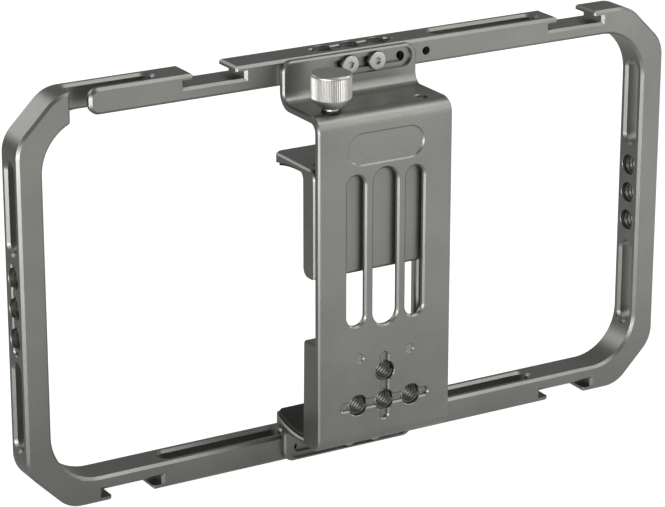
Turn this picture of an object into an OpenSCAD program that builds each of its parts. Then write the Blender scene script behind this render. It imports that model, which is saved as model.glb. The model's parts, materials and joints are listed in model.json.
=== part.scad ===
// Phone cage: a milled frame, and a clamp bracket that slides along it. A knurled knob
// drives the upper jaw along a guide rod, towards the hook at the bracket's lower end.
// The frame's width runs along X and it stands on Z = 0. The clamp plate faces -Y.

/* [Frame] */
// Width of the frame
frame_w = 217; // [190:1:260]
// Height of the frame
frame_h = 122.9; // [118:0.1:150]
// Depth of the frame, front face to back face
frame_d = 10.8; // [10:0.1:14]
// Width of the two upright bars
side_bar_w = 7.7; // [6:0.1:10]
// Height of the top bar
top_bar_h = 7.6; // [7:0.1:10]
// Height of the bottom bar
bottom_bar_h = 7.9; // [7:0.1:8.6]
// How far each outer corner is cut back along both of its edges
corner_cut = 12.9; // [9:0.1:16]
// Radius that blends each cut corner into the bars
corner_blend_r = 10; // [4:0.5:12]
// Radius of the window's corners
window_r = 15; // [8:0.5:18]
// Chamfer along the frame's edges
frame_edge = 0.8; // [0.3:0.1:1]

/* [Strap slots] */
// Width of the strap slots
strap_slot_w = 5.2; // [4.6:0.1:6]
// Length of each slot in the upright bars, round ends included
side_slot_l = 26.2; // [18:0.1:28]
// Height of those slots' middles above and below the frame's middle
side_slot_z = 29.4; // [28:0.1:31]
// Length of the top bar's left slot
top_left_slot_l = 27.4; // [20:0.1:28]
// Distance from the frame's left end to that slot's middle
top_left_slot_in = 30.3; // [30.1:0.1:31.5]
// Length of the top bar's right slot
top_right_slot_l = 37.6; // [24:0.1:38]
// Distance from the frame's right end to that slot's middle
top_right_slot_in = 63.1; // [62.5:0.1:64.5]
// Length of the two slots in the bottom bar
bottom_slot_l = 40.6; // [28:0.1:41]
// Distance from the frame's ends to the bottom slots' middles
bottom_slot_in = 64.3; // [64.1:0.1:65.5]
// Width of the gap that lets a strap into the top left slot
strap_gap_w = 5.8; // [4.6:0.1:7]
// Corner radius of the wall's free end beside that gap
strap_wall_r = 3; // [1:0.1:3.6]

/* [Accessory shoes] */
// Width of a shoe between its side walls
shoe_w = 19.2; // [18.7:0.1:20]
// Width of the opening between its lips
shoe_open_w = 13.4; // [12.5:0.1:14]
// Depth of a shoe's floor below the bar's surface
shoe_depth = 3.7; // [3.4:0.1:4]
// Thickness of the lips
shoe_lip_t = 1.4; // [1.2:0.1:1.7]
// Chamfer along the lips' top edges
shoe_lip_edge = 0.6; // [0.2:0.1:0.8]
// Distance from the frame's left end to the middle of the top bar's left shoe
top_left_shoe_in = 61.4; // [58.5:0.1:62.5]
// Distance from the nearer end of the frame to the middles of the other three shoes
outer_shoe_in = 32.8; // [30.5:0.1:32.9]

/* [Threaded holes] */
// Diameter of the quarter inch thread
quarter_d = 6.35; // [6:0.05:6.5]
// Spacing of the quarter inch holes
quarter_pitch = 9; // [8.9:0.1:10]
// Lead-in chamfer of the quarter inch holes
quarter_lead = 0.15; // [0.1:0.05:0.3]
// Width of the anti-twist groove along each row of holes
groove_w = 2.4; // [1.6:0.1:3.2]
// Depth of that groove
groove_d = 1; // [0.5:0.1:1.5]
// Chamfer of that groove
groove_edge = 0.4; // [0.2:0.1:0.6]
// How far the groove runs past the outer hole's axis in the frame
groove_past = 3.6; // [3.2:0.1:5]
// Tapping diameter of the small holes for the clamp screws
small_hole_d = 2.5; // [2:0.1:2.6]
// Depth of the small holes
small_hole_l = 4.4; // [3:0.1:4.4]
// Number of small holes in each row
small_hole_count = 6; // [2:2:6]

/* [Clamp bracket] */
// Distance from the frame's front face to the clamp plate's front face
stand_off = 22; // [20:0.1:26]
// Width of the bracket
bracket_w = 44.4; // [42:0.1:50]
// Middle of the bracket, left of the frame's middle
bracket_x = 4.3; // [3.5:0.1:5]
// Thickness of the bent plate
plate_t = 2; // [1.6:0.1:2.5]
// Chamfer along the bracket's edges
bracket_edge = 0.5; // [0.2:0.1:0.7]
// Outer radius of the bend between the shelf and the clamp plate
plate_bend_r = 4.5; // [3:0.1:6]
// Outer radius of the clamp plate's lower edge
plate_foot_r = 3.8; // [2.5:0.1:5]
// Inner radius of the bend under the upper flange
upper_flange_bend_r = 3; // [2:0.1:4]
// Inner radius of the bend above the lower flange
lower_flange_bend_r = 1.2; // [0.8:0.1:1.6]
// Height of the frame's top above the shelf's upper face
shelf_drop = 11.9; // [11.6:0.1:13]
// Height of the hook's underside above the frame's bottom
hook_z = 10; // [9.8:0.1:11]
// How far each flange's edge stays inside the frame's edge
flange_inset = 0.2; // [0.1:0.1:0.5]
// Corner radius of the flanges
flange_corner_r = 3.2; // [1:0.1:3.4]

/* [Flange slots] */
// Width of the recess for the screw heads
recess_w = 6.1; // [6:0.1:6.4]
// Depth of that recess
recess_d = 1; // [0.6:0.1:1.2]
// Width of the slot through the flange
flange_slot_w = 3.2; // [3.1:0.1:3.6]
// Metal left between the recess and the bracket's side
recess_margin = 1.5; // [1.2:0.1:3]
// Length of the upper recess
upper_recess_l = 29.3; // [24:0.1:30]
// How much further the recess's middles of rounding lie out than the slot's
recess_past = 0.7; // [0:0.1:1.2]

/* [Clamp plate] */
// Width of the two outer windows in the plate
outer_slot_w = 6; // [4:0.1:6.4]
// Width of the middle window
middle_slot_w = 8.1; // [5:0.1:8.4]
// Distance from the middle window's middle to each outer window's
slot_pitch = 9.8; // [9:0.1:10.5]
// Distance from the shelf's upper face down to the middle window
middle_slot_drop = 17.3; // [16.5:0.1:24]
// Distance from the block's top up to the middle window
middle_slot_rise = 3.5; // [3:0.1:10]
// How much further in the outer windows end
outer_slot_in = 1; // [0:0.1:4]
// Width of the plain badge recess
badge_w = 24.7; // [18:0.1:28]
// Height of the badge recess
badge_h = 9; // [6:0.1:9.4]
// Depth of the badge recess
badge_d = 0.4; // [0.2:0.1:0.6]
// Distance from the shelf's upper face down to the badge recess's middle
badge_drop = 10.8; // [10.4:0.1:11.2]
// Height of the row of three threaded holes
cross_z = 22.8; // [22:0.1:24]
// How far the cross-shaped groove runs past the outer holes' axes
cross_past = 4.6; // [4:0.1:5.2]

/* [Block and hook] */
// Depth of the threaded block, from the plate's front face to its back face
block_t = 8.9; // [8.4:0.1:10]
// Height of the block's top
block_top_z = 42.8; // [41:0.1:44]
// How far the hook reaches back from the block
hook_reach = 18; // [14:0.1:18.4]
// How far the jaw's ledge reaches back from the jaw's plate
jaw_reach = 17.7; // [14:0.1:18.4]
// Least thickness of the hook and of the jaw's ledge
cradle_t = 1.5; // [1.2:0.1:2]
// Radius of the hollow in the hook, which cradles the phone's lower edge
hook_hollow_r = 29; // [26:0.5:40]
// Radius of the hollow under the jaw's ledge
ledge_hollow_r = 44; // [30:0.5:50]
// Distance from the block or the jaw's plate to the hollow's deepest point
cradle_in = 4.6; // [4:0.1:6]
// Corner radius of the hook's and the ledge's tips
tip_r = 3; // [1:0.1:4]
// Width of the flat along those tips
tip_flat = 1.2; // [0.8:0.1:2]
// Rounding of the hook's lower back edge
hook_heel_r = 1.2; // [0.4:0.1:1.6]
// Diameter of the two pins pressed into the block
pin_d = 2.3; // [1.5:0.1:2.6]
// Distance of those two pins from the bracket's sides
pin_in = 13.8; // [13.2:0.1:15]
// Height of those two pins
pin_z = 37.3; // [36.6:0.1:38]
// How far the pins' ends lie below the plate's face
pin_sunk = 0.3; // [0.1:0.1:0.6]

/* [Jaw] */
// Thickness of the jaw's plate
jaw_t = 6.1; // [5.9:0.1:7]
// Chamfer along the jaw's edges
jaw_edge = 0.5; // [0.3:0.1:1]
// Height of the jaw
jaw_h = 32.4; // [26:0.1:34]
// How far the jaw has climbed from the block towards the shelf, as a share of its way
jaw_open_share = 0.586; // [0.02:0.002:0.98]
// Outer radius where the jaw's ledge meets its plate
jaw_bend_r = 3; // [1.5:0.1:3.2]
// Radius inside that corner
jaw_inner_r = 2.5; // [1:0.1:3]
// Rounding of the jaw's lower back edge
jaw_heel_r = 2.5; // [0.5:0.1:3]
// Rounding of the jaw's lower front edge
jaw_toe_r = 1.2; // [0.4:0.1:2]
// Diameter of the recess in the jaw's top, which takes the clip and its washer
jaw_recess_d = 10.4; // [8:0.1:11]
// Depth of that recess
jaw_recess_l = 2; // [1.8:0.1:2.4]

/* [Pads] */
// Thickness of the silicone pads
pad_t = 1; // [0.6:0.1:1.2]
// How far the face pads are let into the metal
pad_sunk = 0.4; // [0.2:0.1:0.5]
// Margin of metal around the pads
pad_margin = 1; // [0.6:0.1:2]
// Corner radius of the pads
pad_corner_r = 1.5; // [0.5:0.1:2]
// Height of the block's face pad
block_pad_h = 5.4; // [4:0.1:6]
// Height of the jaw's face pad
jaw_pad_h = 22; // [14:0.1:23]

/* [Screw drive] */
// Diameter of the lead screw's thread
screw_d = 4; // [3.6:0.1:4.2]
// Diameter of the guide rod
rod_d = 4; // [3.6:0.1:4.2]
// Distance of the screw's and the rod's axes from the bracket's sides
drive_in = 7.5; // [6.8:0.1:8.4]
// Distance of the screw's axis behind the plate's front face
drive_y = 5.9; // [5.8:0.1:6.2]
// Depth of the rod's and the screw's holes in the block
drive_hole_l = 7; // [5:0.1:9]
// How far the rod's upper end lies below the shelf's face
rod_sunk = 0.6; // [0.1:0.1:0.8]
// Chamfer of the rod's ends
rod_edge = 0.3; // [0.1:0.1:0.6]
// Diameter of the knob
knob_d = 11.8; // [10:0.1:11.8]
// Height of the knob, its cone included
knob_h = 10.9; // [9:0.1:11]
// Height of the knurl's lower end above the knob's foot
knob_cone_h = 3.9; // [2.5:0.1:5]
// How full the cone's outline is: 0 is straight, and 1 a quarter of an ellipse
knob_bowl_share = 0.45; // [0:0.05:1]
// Diameter of the cone's small end
knob_cone_d = 5; // [4.8:0.1:7]
// Diameter of the knob's neck
knob_neck_d = 4.6; // [4.4:0.1:4.8]
// Height of that neck
knob_neck_h = 0.9; // [0.2:0.1:1.4]
// Chamfer of the knob's top edge
knob_edge = 0.5; // [0.2:0.1:1]
// Height of the plain rim above the knurl
knob_rim_h = 1; // [0.6:0.1:2]
// Number of teeth in the knurl
knurl_count = 64; // [30:1:72]
// Depth of the knurl
knurl_d = 0.22; // [0.1:0.01:0.4]
// Depth of the knob's bore
knob_bore_l = 6.5; // [4:0.1:8]
// Diameter of the thin washer under the knob
knob_washer_d = 5.6; // [5:0.1:8]
// Thickness of that washer
knob_washer_t = 0.3; // [0.2:0.1:0.6]
// Diameter of the washer and the clip under the shelf
clip_d = 6.8; // [6:0.1:7]
// Thickness of the washer under the shelf
clip_washer_t = 0.5; // [0.3:0.1:0.6]
// Thickness of the clip
clip_t = 0.6; // [0.4:0.1:0.8]
// Diameter of the groove that holds the clip
clip_groove_d = 3; // [2.6:0.1:3.2]
// Width of the clip's mouth
clip_mouth_w = 2.6; // [2:0.1:2.9]

/* [Clamp screws] */
// Diameter of the screw heads
head_d = 5.6; // [5:0.1:5.9]
// Height of the screw heads
head_t = 1.4; // [1.1:0.1:2]
// Edge rounding of the heads, as a chamfer
head_edge = 0.15; // [0.05:0.05:0.3]
// Width across the flats of the hexagon socket
socket_af = 2; // [1.5:0.1:2.5]
// Depth of the socket
socket_d = 0.8; // [0.4:0.1:1]
// Diameter of the screws' shanks
shank_d = 3; // [2.6:0.1:3]
// Length of thread in the frame
thread_l = 4; // [2:0.1:4.2]

/* [Hidden] */
// Clearance of each running fit, on the radius
run_fit = 0.05;
// Clearance of each pressed or glued seat
seat_fit = 0.02;
// Gap between flat faces that slide past each other
face_gap = 0.1;
// Gap between the jaw and the clamp plate
jaw_gap = 0.7;
// Overrun of the cuts
cut = 1;
$fn = 72;

overall_d = frame_d + stand_off;
plate_y = -overall_d / 2;
frame_y = overall_d / 2 - frame_d;
frame_mid_y = frame_y + frame_d / 2;
top_left_slot_x = frame_w / 2 - top_left_slot_in;
top_right_slot_x = frame_w / 2 - top_right_slot_in;
bottom_slot_x = frame_w / 2 - bottom_slot_in;
top_left_shoe_x = frame_w / 2 - top_left_shoe_in;
outer_shoe_x = frame_w / 2 - outer_shoe_in;
window_w = frame_w - 2 * side_bar_w;
window_h = frame_h - top_bar_h - bottom_bar_h;
window_z = bottom_bar_h + window_h / 2;
top_row_z = frame_h - top_bar_h / 2;
bottom_row_z = bottom_bar_h / 2;
strap_wall_t = (frame_d - strap_slot_w) / 2;
strap_gap_x = -top_left_slot_x - top_left_slot_l / 2;
shoe_under_h = shoe_depth - shoe_lip_t;

flange_y = frame_y - face_gap - plate_t;
shelf_z = frame_h - shelf_drop;
shelf_under_z = shelf_z - plate_t;
block_y = plate_y + block_t;
hook_tip_y = block_y + hook_reach;
middle_slot_l = shelf_z - middle_slot_drop - block_top_z - middle_slot_rise;
outer_slot_l = middle_slot_l - 2 * outer_slot_in;
slot_mid_z = block_top_z + middle_slot_rise + middle_slot_l / 2;
badge_z = shelf_z - badge_drop;
pin_x = bracket_w / 2 - pin_in;
recess_end_x = bracket_w / 2 - recess_margin - recess_w / 2;
lower_recess_l = 2 * recess_end_x + recess_w;

jaw_y = plate_y + plate_t + jaw_gap;
jaw_back_y = jaw_y + jaw_t;
jaw_tip_y = jaw_back_y + jaw_reach;
jaw_bottom_z = block_top_z + jaw_open_share * (shelf_under_z - block_top_z - jaw_h);
jaw_top_z = jaw_bottom_z + jaw_h;
ledge_tip_t = tip_t(ledge_hollow_r, jaw_reach);
hook_tip_t = tip_t(hook_hollow_r, hook_reach);

drive_x = bracket_w / 2 - drive_in;
screw_x = -drive_x;
axis_y = plate_y + drive_y;
knob_z = shelf_z + 2 * face_gap + knob_washer_t;
clip_top_z = shelf_under_z - 2 * run_fit - clip_washer_t - run_fit;
drive_end_z = block_top_z - drive_hole_l;

// Thickness of a tip that reaches out this far, with a hollow of radius r
function tip_t(r, reach) =
    cradle_t + r - sqrt(pow(r, 2) - pow(reach - tip_flat - cradle_in, 2));

// Half outlines, from the axis outwards. The first value is the distance from the middle
// and the second the height.

// A cut right through a wall of height h, flared by e at both faces
function through_half(r, h, e) = [[0, -cut], [r + e, -cut], [r + e, 0], [r, e],
    [r, h - e], [r + e, h], [r + e, h + cut], [0, h + cut]];

// A cut into the wall below height 0, flared by e at the surface
function blind_half(r, h, e) = [[0, cut], [r + e, cut], [r + e, 0], [r, -e],
    [r, -h], [0, -h]];

// A solid of height h, chamfered by e along both rims
function rim_half(r, h, e) = [[0, 0], [r - e, 0], [r, e], [r, h - e], [r - e, h], [0, h]];

// A solid of height h, chamfered by e along its upper rim
function top_rim_half(r, h, e) = [[0, 0], [r, 0], [r, h - e], [r - e, h], [0, h]];

// The whole outline, from one side of the axis to the other
function whole(half) = concat(
    [for (i = [1 : len(half) - 2]) half[i]],
    [for (i = [len(half) - 2 : -1 : 1]) [-half[i][0], half[i][1]]]);

// A half outline turned about the Z axis
module turned(half) {
    rotate_extrude() polygon(half);
}

// A whole outline carried along X for the length l
module run(half, l) {
    translate([-l / 2, 0, 0]) rotate([90, 0, 90])
        linear_extrude(l) polygon(whole(half));
}

// A long hole or a long boss with round ends: l is its whole length
module oblong(half, r, l) {
    for (side = [-1, 1]) translate([side * (l / 2 - r), 0, 0]) turned(half);
    run(half, l - 2 * r);
}

// What a convex round of radius r leaves of a square corner at the origin
module corner_waste(r) {
    difference() {
        translate([-cut, -cut]) square(r + cut);
        translate([r, r]) circle(r);
    }
}

// A row of three quarter inch holes along X, bored down through h, with its groove
module threaded_row(h, past) {
    oblong(blind_half(groove_w / 2, groove_d, groove_edge), groove_w / 2,
        2 * (quarter_pitch + past) + groove_w);
    for (i = [-1 : 1]) translate([i * quarter_pitch, 0, 0]) quarter_hole(h);
}

module quarter_hole(h) {
    translate([0, 0, -h]) turned(through_half(quarter_d / 2, h, quarter_lead));
}

// One accessory shoe, cut along Y through the frame, with its floor at height 0
module shoe() {
    side = through_half(shoe_w / 2, frame_d, frame_edge);
    mouth = through_half(shoe_open_w / 2, frame_d, shoe_lip_edge);
    intersection() {
        rotate([90, 0, 90]) linear_extrude(2 * shoe_w, center = true)
            polygon([[-cut, -frame_edge], [0, -frame_edge], [frame_edge, 0],
                [frame_d - frame_edge, 0], [frame_d, -frame_edge],
                [frame_d + cut, -frame_edge],
                [frame_d + cut, shoe_under_h], [-cut, shoe_under_h]]);
        translate([0, 0, -cut]) linear_extrude(shoe_depth + 2 * cut) polygon(whole(side));
    }
    translate([0, 0, shoe_under_h / 2])
        linear_extrude(shoe_depth) polygon(whole(mouth));
    translate([0, -cut, 0]) rotate([90, 0, 180]) linear_extrude(frame_d + 2 * cut)
        polygon([[-shoe_open_w / 2, shoe_under_h / 2], [shoe_open_w / 2, shoe_under_h / 2],
            [shoe_open_w / 2, shoe_depth - shoe_lip_edge],
            [shoe_open_w / 2 + shoe_lip_edge + cut, shoe_depth + cut],
            [-shoe_open_w / 2 - shoe_lip_edge - cut, shoe_depth + cut],
            [-shoe_open_w / 2, shoe_depth - shoe_lip_edge]]);
}

// The frame's outer body, drawn flat with its depth upwards
module frame_blank() {
    k = corner_cut + corner_blend_r * tan(45 / 2);
    r = corner_blend_r;
    near = frame_w / 2 - r;
    far = frame_w / 2 - k;
    hull() for (p = [[far, r], [near, k], [near, frame_h - k], [far, frame_h - r]],
        side = [-1, 1]) translate([side * p[0], p[1], 0]) turned(rim_half(r, frame_d, frame_edge));
}

// The window, drawn the same way
module frame_window() {
    window_part(through_half(window_r, frame_d, 0));
    window_part([[0, 0], [window_r + frame_edge, 0], [window_r, frame_edge],
        [0, frame_edge]]);
    window_part([[0, frame_d - frame_edge], [window_r, frame_d - frame_edge],
        [window_r + frame_edge, frame_d], [0, frame_d]]);
}

module window_part(half) {
    hull() for (x = [-1, 1], y = [-1, 1])
        translate([x * (window_w / 2 - window_r), window_z + y * (window_h / 2 - window_r), 0])
            turned(half);
}

module strap_slots() {
    r = strap_slot_w / 2;
    side = through_half(r, side_bar_w, frame_edge);
    for (x = [-frame_w / 2, frame_w / 2 - side_bar_w], z = [-1, 1])
        translate([x, frame_mid_y, frame_h / 2 + z * side_slot_z])
            rotate([0, 90, 0]) oblong(side, r, side_slot_l);
    translate([0, frame_mid_y, frame_h - top_bar_h]) {
        top = through_half(r, top_bar_h, frame_edge);
        translate([-top_left_slot_x, 0, 0]) oblong(top, r, top_left_slot_l);
        translate([top_right_slot_x, 0, 0]) oblong(top, r, top_right_slot_l);
    }
    for (x = [-1, 1]) translate([x * bottom_slot_x, frame_mid_y, 0])
        oblong(through_half(r, bottom_bar_h, frame_edge), r, bottom_slot_l);
}

// The gap in front of the top left slot
module strap_gap() {
    wide = strap_gap_w + strap_wall_r;
    translate([strap_gap_x, frame_y, frame_h - top_bar_h - cut])
        linear_extrude(top_bar_h + 2 * cut)
            polygon([[-frame_edge, -cut], [-frame_edge, 0], [0, frame_edge],
                [0, frame_d / 2], [wide, frame_d / 2], [wide, -cut]]);
}

// The rounded free end of the wall beside the gap
module strap_wall_end() {
    half = rim_half(strap_wall_r, strap_wall_t, frame_edge);
    translate([strap_gap_x + strap_gap_w + strap_wall_r, frame_y + strap_wall_t, top_row_z])
        rotate([90, 0, 0]) {
            for (z = [-1, 1])
                translate([0, z * (top_bar_h / 2 - strap_wall_r), 0]) turned(half);
            rotate(90) run(half, top_bar_h - 2 * strap_wall_r);
        }
}

module small_holes() {
    for (i = [0 : small_hole_count - 1], z = [top_row_z, bottom_row_z])
        translate([(i - (small_hole_count - 1) / 2) * quarter_pitch, frame_y, z])
            rotate([-90, 0, 0]) translate([0, 0, -cut])
                cylinder(h = small_hole_l + cut, d = small_hole_d);
}

module cage_frame() {
    color("#7b7c76") union() {
        difference() {
            translate([0, frame_y + frame_d, 0]) rotate([90, 0, 0]) difference() {
                frame_blank();
                frame_window();
            }
            strap_slots();
            strap_gap();
            translate([0, frame_y, frame_h - shoe_depth]) {
                translate([-top_left_shoe_x, 0, 0]) shoe();
                translate([outer_shoe_x, 0, 0]) shoe();
            }
            for (x = [-1, 1]) translate([x * outer_shoe_x, frame_y, shoe_depth])
                mirror([0, 0, 1]) shoe();
            translate([0, frame_mid_y, frame_h]) threaded_row(top_bar_h, groove_past);
            translate([0, frame_mid_y, 0]) rotate([180, 0, 0])
                threaded_row(bottom_bar_h, groove_past);
            for (side = [-1, 1])
                translate([side * frame_w / 2, frame_mid_y, frame_h / 2])
                    rotate([0, side * 90, 0]) threaded_row(side_bar_w, groove_past);
            small_holes();
        }
        strap_wall_end();
    }
}

// The cross section of a plate of width w and thickness t, chamfered along its front edges
function strip(w, t, e) = [[e - w / 2, 0], [w / 2 - e, 0], [w / 2, e], [w / 2, t],
    [-w / 2, t], [-w / 2, e]];

// A quarter bend of such a strip about an axis along X. Its front lies at the radius r,
// and its thickness runs outwards for way = 1 or inwards for way = -1. The bend starts
// at the angle from, where 0 points down, 90 back, 180 up and 270 to the front.
module bend(section, r, way, from) {
    rotate([0, 90, 0]) rotate(from) rotate_extrude(angle = 90)
        polygon([for (p = section) [r + way * p[1], p[0]]]);
}

// A flat tongue of width w, thickness t and corner radius r that reaches from the X axis
// to y = l. Its top, at z = t, is chamfered by e along the free edges.
module tongue(w, l, r, t, e) {
    for (side = [-1, 1]) translate([side * (w / 2 - r), l - r, 0])
        turned(top_rim_half(r, t, e));
    translate([0, l - r, 0]) run(top_rim_half(r, t, e), w - 2 * r);
    translate([0, (l - r) / 2, 0]) rotate(90) run(top_rim_half(w / 2, t, e), l - r);
}

// A flange of height h that stands on the X axis, with its back at y = 0
module flange(h) {
    rotate([90, 0, 0]) tongue(bracket_w, h, flange_corner_r, plate_t, bracket_edge);
}

// The recess of length l and the slot that the clamp screws run in
module flange_slot(l) {
    translate([recess_end_x - (l - recess_w) / 2, flange_y, 0]) rotate([90, 0, 0]) {
        oblong(blind_half(recess_w / 2, recess_d, 0), recess_w / 2, l);
        translate([0, 0, -plate_t])
            oblong(through_half(flange_slot_w / 2, plate_t, 0), flange_slot_w / 2,
                l - recess_w + flange_slot_w - 2 * recess_past);
    }
}

// The plate bent into its hat shape
module bent_plate() {
    section = strip(bracket_w, plate_t, bracket_edge);
    upper_y = flange_y - upper_flange_bend_r;
    lower_y = flange_y - lower_flange_bend_r;
    front_y = plate_y + plate_bend_r;
    foot_y = plate_y + plate_foot_r;
    upper_h = frame_h - flange_inset - shelf_z - upper_flange_bend_r;
    lower_h = hook_z - lower_flange_bend_r - flange_inset;
    translate([0, flange_y + plate_t, shelf_z + upper_flange_bend_r])
        flange(upper_h);
    translate([0, upper_y, shelf_z + upper_flange_bend_r])
        bend(section, upper_flange_bend_r, 1, 0);
    translate([0, front_y, shelf_z]) rotate([-90, 0, 0])
        linear_extrude(upper_y - front_y) polygon(section);
    translate([0, front_y, shelf_z - plate_bend_r]) bend(section, plate_bend_r, -1, 180);
    translate([0, plate_y, hook_z + plate_foot_r])
        linear_extrude(shelf_z - hook_z - plate_bend_r - plate_foot_r) polygon(section);
    translate([0, foot_y, hook_z + plate_foot_r]) bend(section, plate_foot_r, -1, 270);
    translate([0, lower_y, hook_z]) rotate([90, 0, 0])
        linear_extrude(lower_y - foot_y) polygon(section);
    translate([0, lower_y, hook_z - lower_flange_bend_r])
        bend(section, lower_flange_bend_r, 1, 90);
    translate([0, flange_y + plate_t, hook_z - lower_flange_bend_r])
        mirror([0, 0, 1]) flange(lower_h);
}

// A hollow of radius r along X over the width w, flared at both sides and limited to what
// lies behind y = 0. Its axis is at the distance cradle_in behind y = 0, at height 0.
module cradle_hollow(r, w, e) {
    intersection() {
        translate([-w / 2, cradle_in, 0]) rotate([0, 90, 0]) turned(through_half(r, w, e));
        translate([-w, 0, -2 * r]) cube([2 * w, 4 * r, 4 * r]);
    }
}

// The thick block behind the plate, and the hook that carries the phone's lower edge
module block_and_hook() {
    foot_y = plate_y + plate_foot_r;
    difference() {
        union() {
            translate([-bracket_w / 2, plate_y + plate_t / 2, hook_z + plate_foot_r])
                cube([bracket_w, block_t - plate_t / 2, block_top_z - hook_z - plate_foot_r]);
            translate([-bracket_w / 2, foot_y, hook_z + plate_t / 2])
                cube([bracket_w, block_t - plate_foot_r, plate_foot_r]);
            translate([0, foot_y, hook_z + plate_foot_r]) rotate([0, 90, 0])
                cylinder(h = bracket_w, r = plate_foot_r - plate_t / 2, center = true);
            translate([0, foot_y, hook_z + hook_tip_t]) mirror([0, 0, 1])
                tongue(bracket_w, hook_tip_y - foot_y, tip_r, hook_tip_t, bracket_edge);
        }
        rounded_edge(hook_tip_y, hook_z, hook_heel_r, -1);
    }
}

// Cuts an edge along X to the radius r. The edge is at y and z, the metal lies above it,
// and behind it for way = 1 or in front of it for way = -1.
module rounded_edge(y, z, r, way) {
    translate([-bracket_w / 2 - cut, y, z]) rotate([90, 0, 90])
        linear_extrude(bracket_w + 2 * cut) scale([way, 1, 1]) corner_waste(r);
}

module plate_windows() {
    translate([0, plate_y + plate_t, slot_mid_z]) rotate([90, 90, 0]) {
        oblong(through_half(middle_slot_w / 2, plate_t, bracket_edge),
            middle_slot_w / 2, middle_slot_l);
        for (side = [-1, 1]) translate([0, side * slot_pitch, 0])
            oblong(through_half(outer_slot_w / 2, plate_t, bracket_edge),
                outer_slot_w / 2, outer_slot_l);
    }
}

// The cross of threaded holes, the pins' holes and the badge recess
module plate_front_cuts() {
    upper_z = cross_z + quarter_pitch;
    translate([0, plate_y, 0]) rotate([90, 0, 0]) {
        translate([0, cross_z, 0]) threaded_row(block_t, cross_past);
        translate([0, upper_z, 0]) quarter_hole(block_t);
        translate([0, (cross_z + upper_z) / 2, 0]) rotate(90)
            oblong(blind_half(groove_w / 2, groove_d, groove_edge), groove_w / 2,
                quarter_pitch + 2 * cross_past + groove_w);
        for (side = [-1, 1]) translate([side * pin_x, pin_z, -block_t - cut])
            cylinder(h = block_t + 2 * cut, r = pin_d / 2 + seat_fit);
        translate([0, badge_z, 0]) oblong(blind_half(badge_h / 2, badge_d, badge_d / 2),
            badge_h / 2, badge_w);
    }
}

// The holes for the lead screw and the guide rod
module drive_holes() {
    translate([screw_x, axis_y, 0]) {
        translate([0, 0, shelf_under_z])
            turned(through_half(screw_d / 2 + 2 * run_fit, plate_t, run_fit));
        translate([0, 0, shelf_under_z - plate_bend_r])
            cylinder(h = plate_bend_r, r = plate_hole_r());
        translate([0, 0, drive_end_z])
            cylinder(h = drive_hole_l + cut, r = screw_d / 2 + run_fit);
    }
    translate([drive_x, axis_y, 0]) {
        translate([0, 0, shelf_under_z])
            turned(through_half(rod_d / 2 + seat_fit, plate_t, bracket_edge / 2));
        translate([0, 0, drive_end_z])
            cylinder(h = drive_hole_l + cut, r = rod_d / 2 + seat_fit);
    }
}

// The spot face under the shelf reaches from the screw's axis to the plate's back
function plate_hole_r() = drive_y - plate_t;

module clamp_bracket() {
    color("#80807a") translate([-bracket_x, 0, 0]) difference() {
        union() {
            bent_plate();
            block_and_hook();
        }
        translate([0, block_y, hook_z + cradle_t + hook_hollow_r])
            cradle_hollow(hook_hollow_r, bracket_w, bracket_edge);
        plate_windows();
        plate_front_cuts();
        drive_holes();
        translate([0, 0, top_row_z]) flange_slot(upper_recess_l);
        translate([0, 0, bottom_row_z]) flange_slot(lower_recess_l);
        translate([0, block_y, block_pad_z()]) rotate([-90, 0, 0])
            face_plate(face_pad_w(), block_pad_h, -pad_sunk, cut);
    }
}

// A rounded plate of width w and height h, between the levels a and b
module face_plate(w, h, a, b) {
    translate([0, 0, a]) linear_extrude(b - a) round_rectangle(w, h, pad_corner_r);
}

module round_rectangle(w, h, r) {
    square([w, h - 2 * r], center = true);
    square([w - 2 * r, h], center = true);
    for (x = [-1, 1], y = [-1, 1])
        translate([x * (w / 2 - r), y * (h / 2 - r)]) circle(r);
}

function face_pad_w() = bracket_w - 2 * pad_margin;
function block_pad_z() = block_top_z - pad_margin / 2 - block_pad_h / 2;
function jaw_pad_z() = jaw_bottom_z + jaw_heel_r + pad_margin / 2 + jaw_pad_h / 2;

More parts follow.
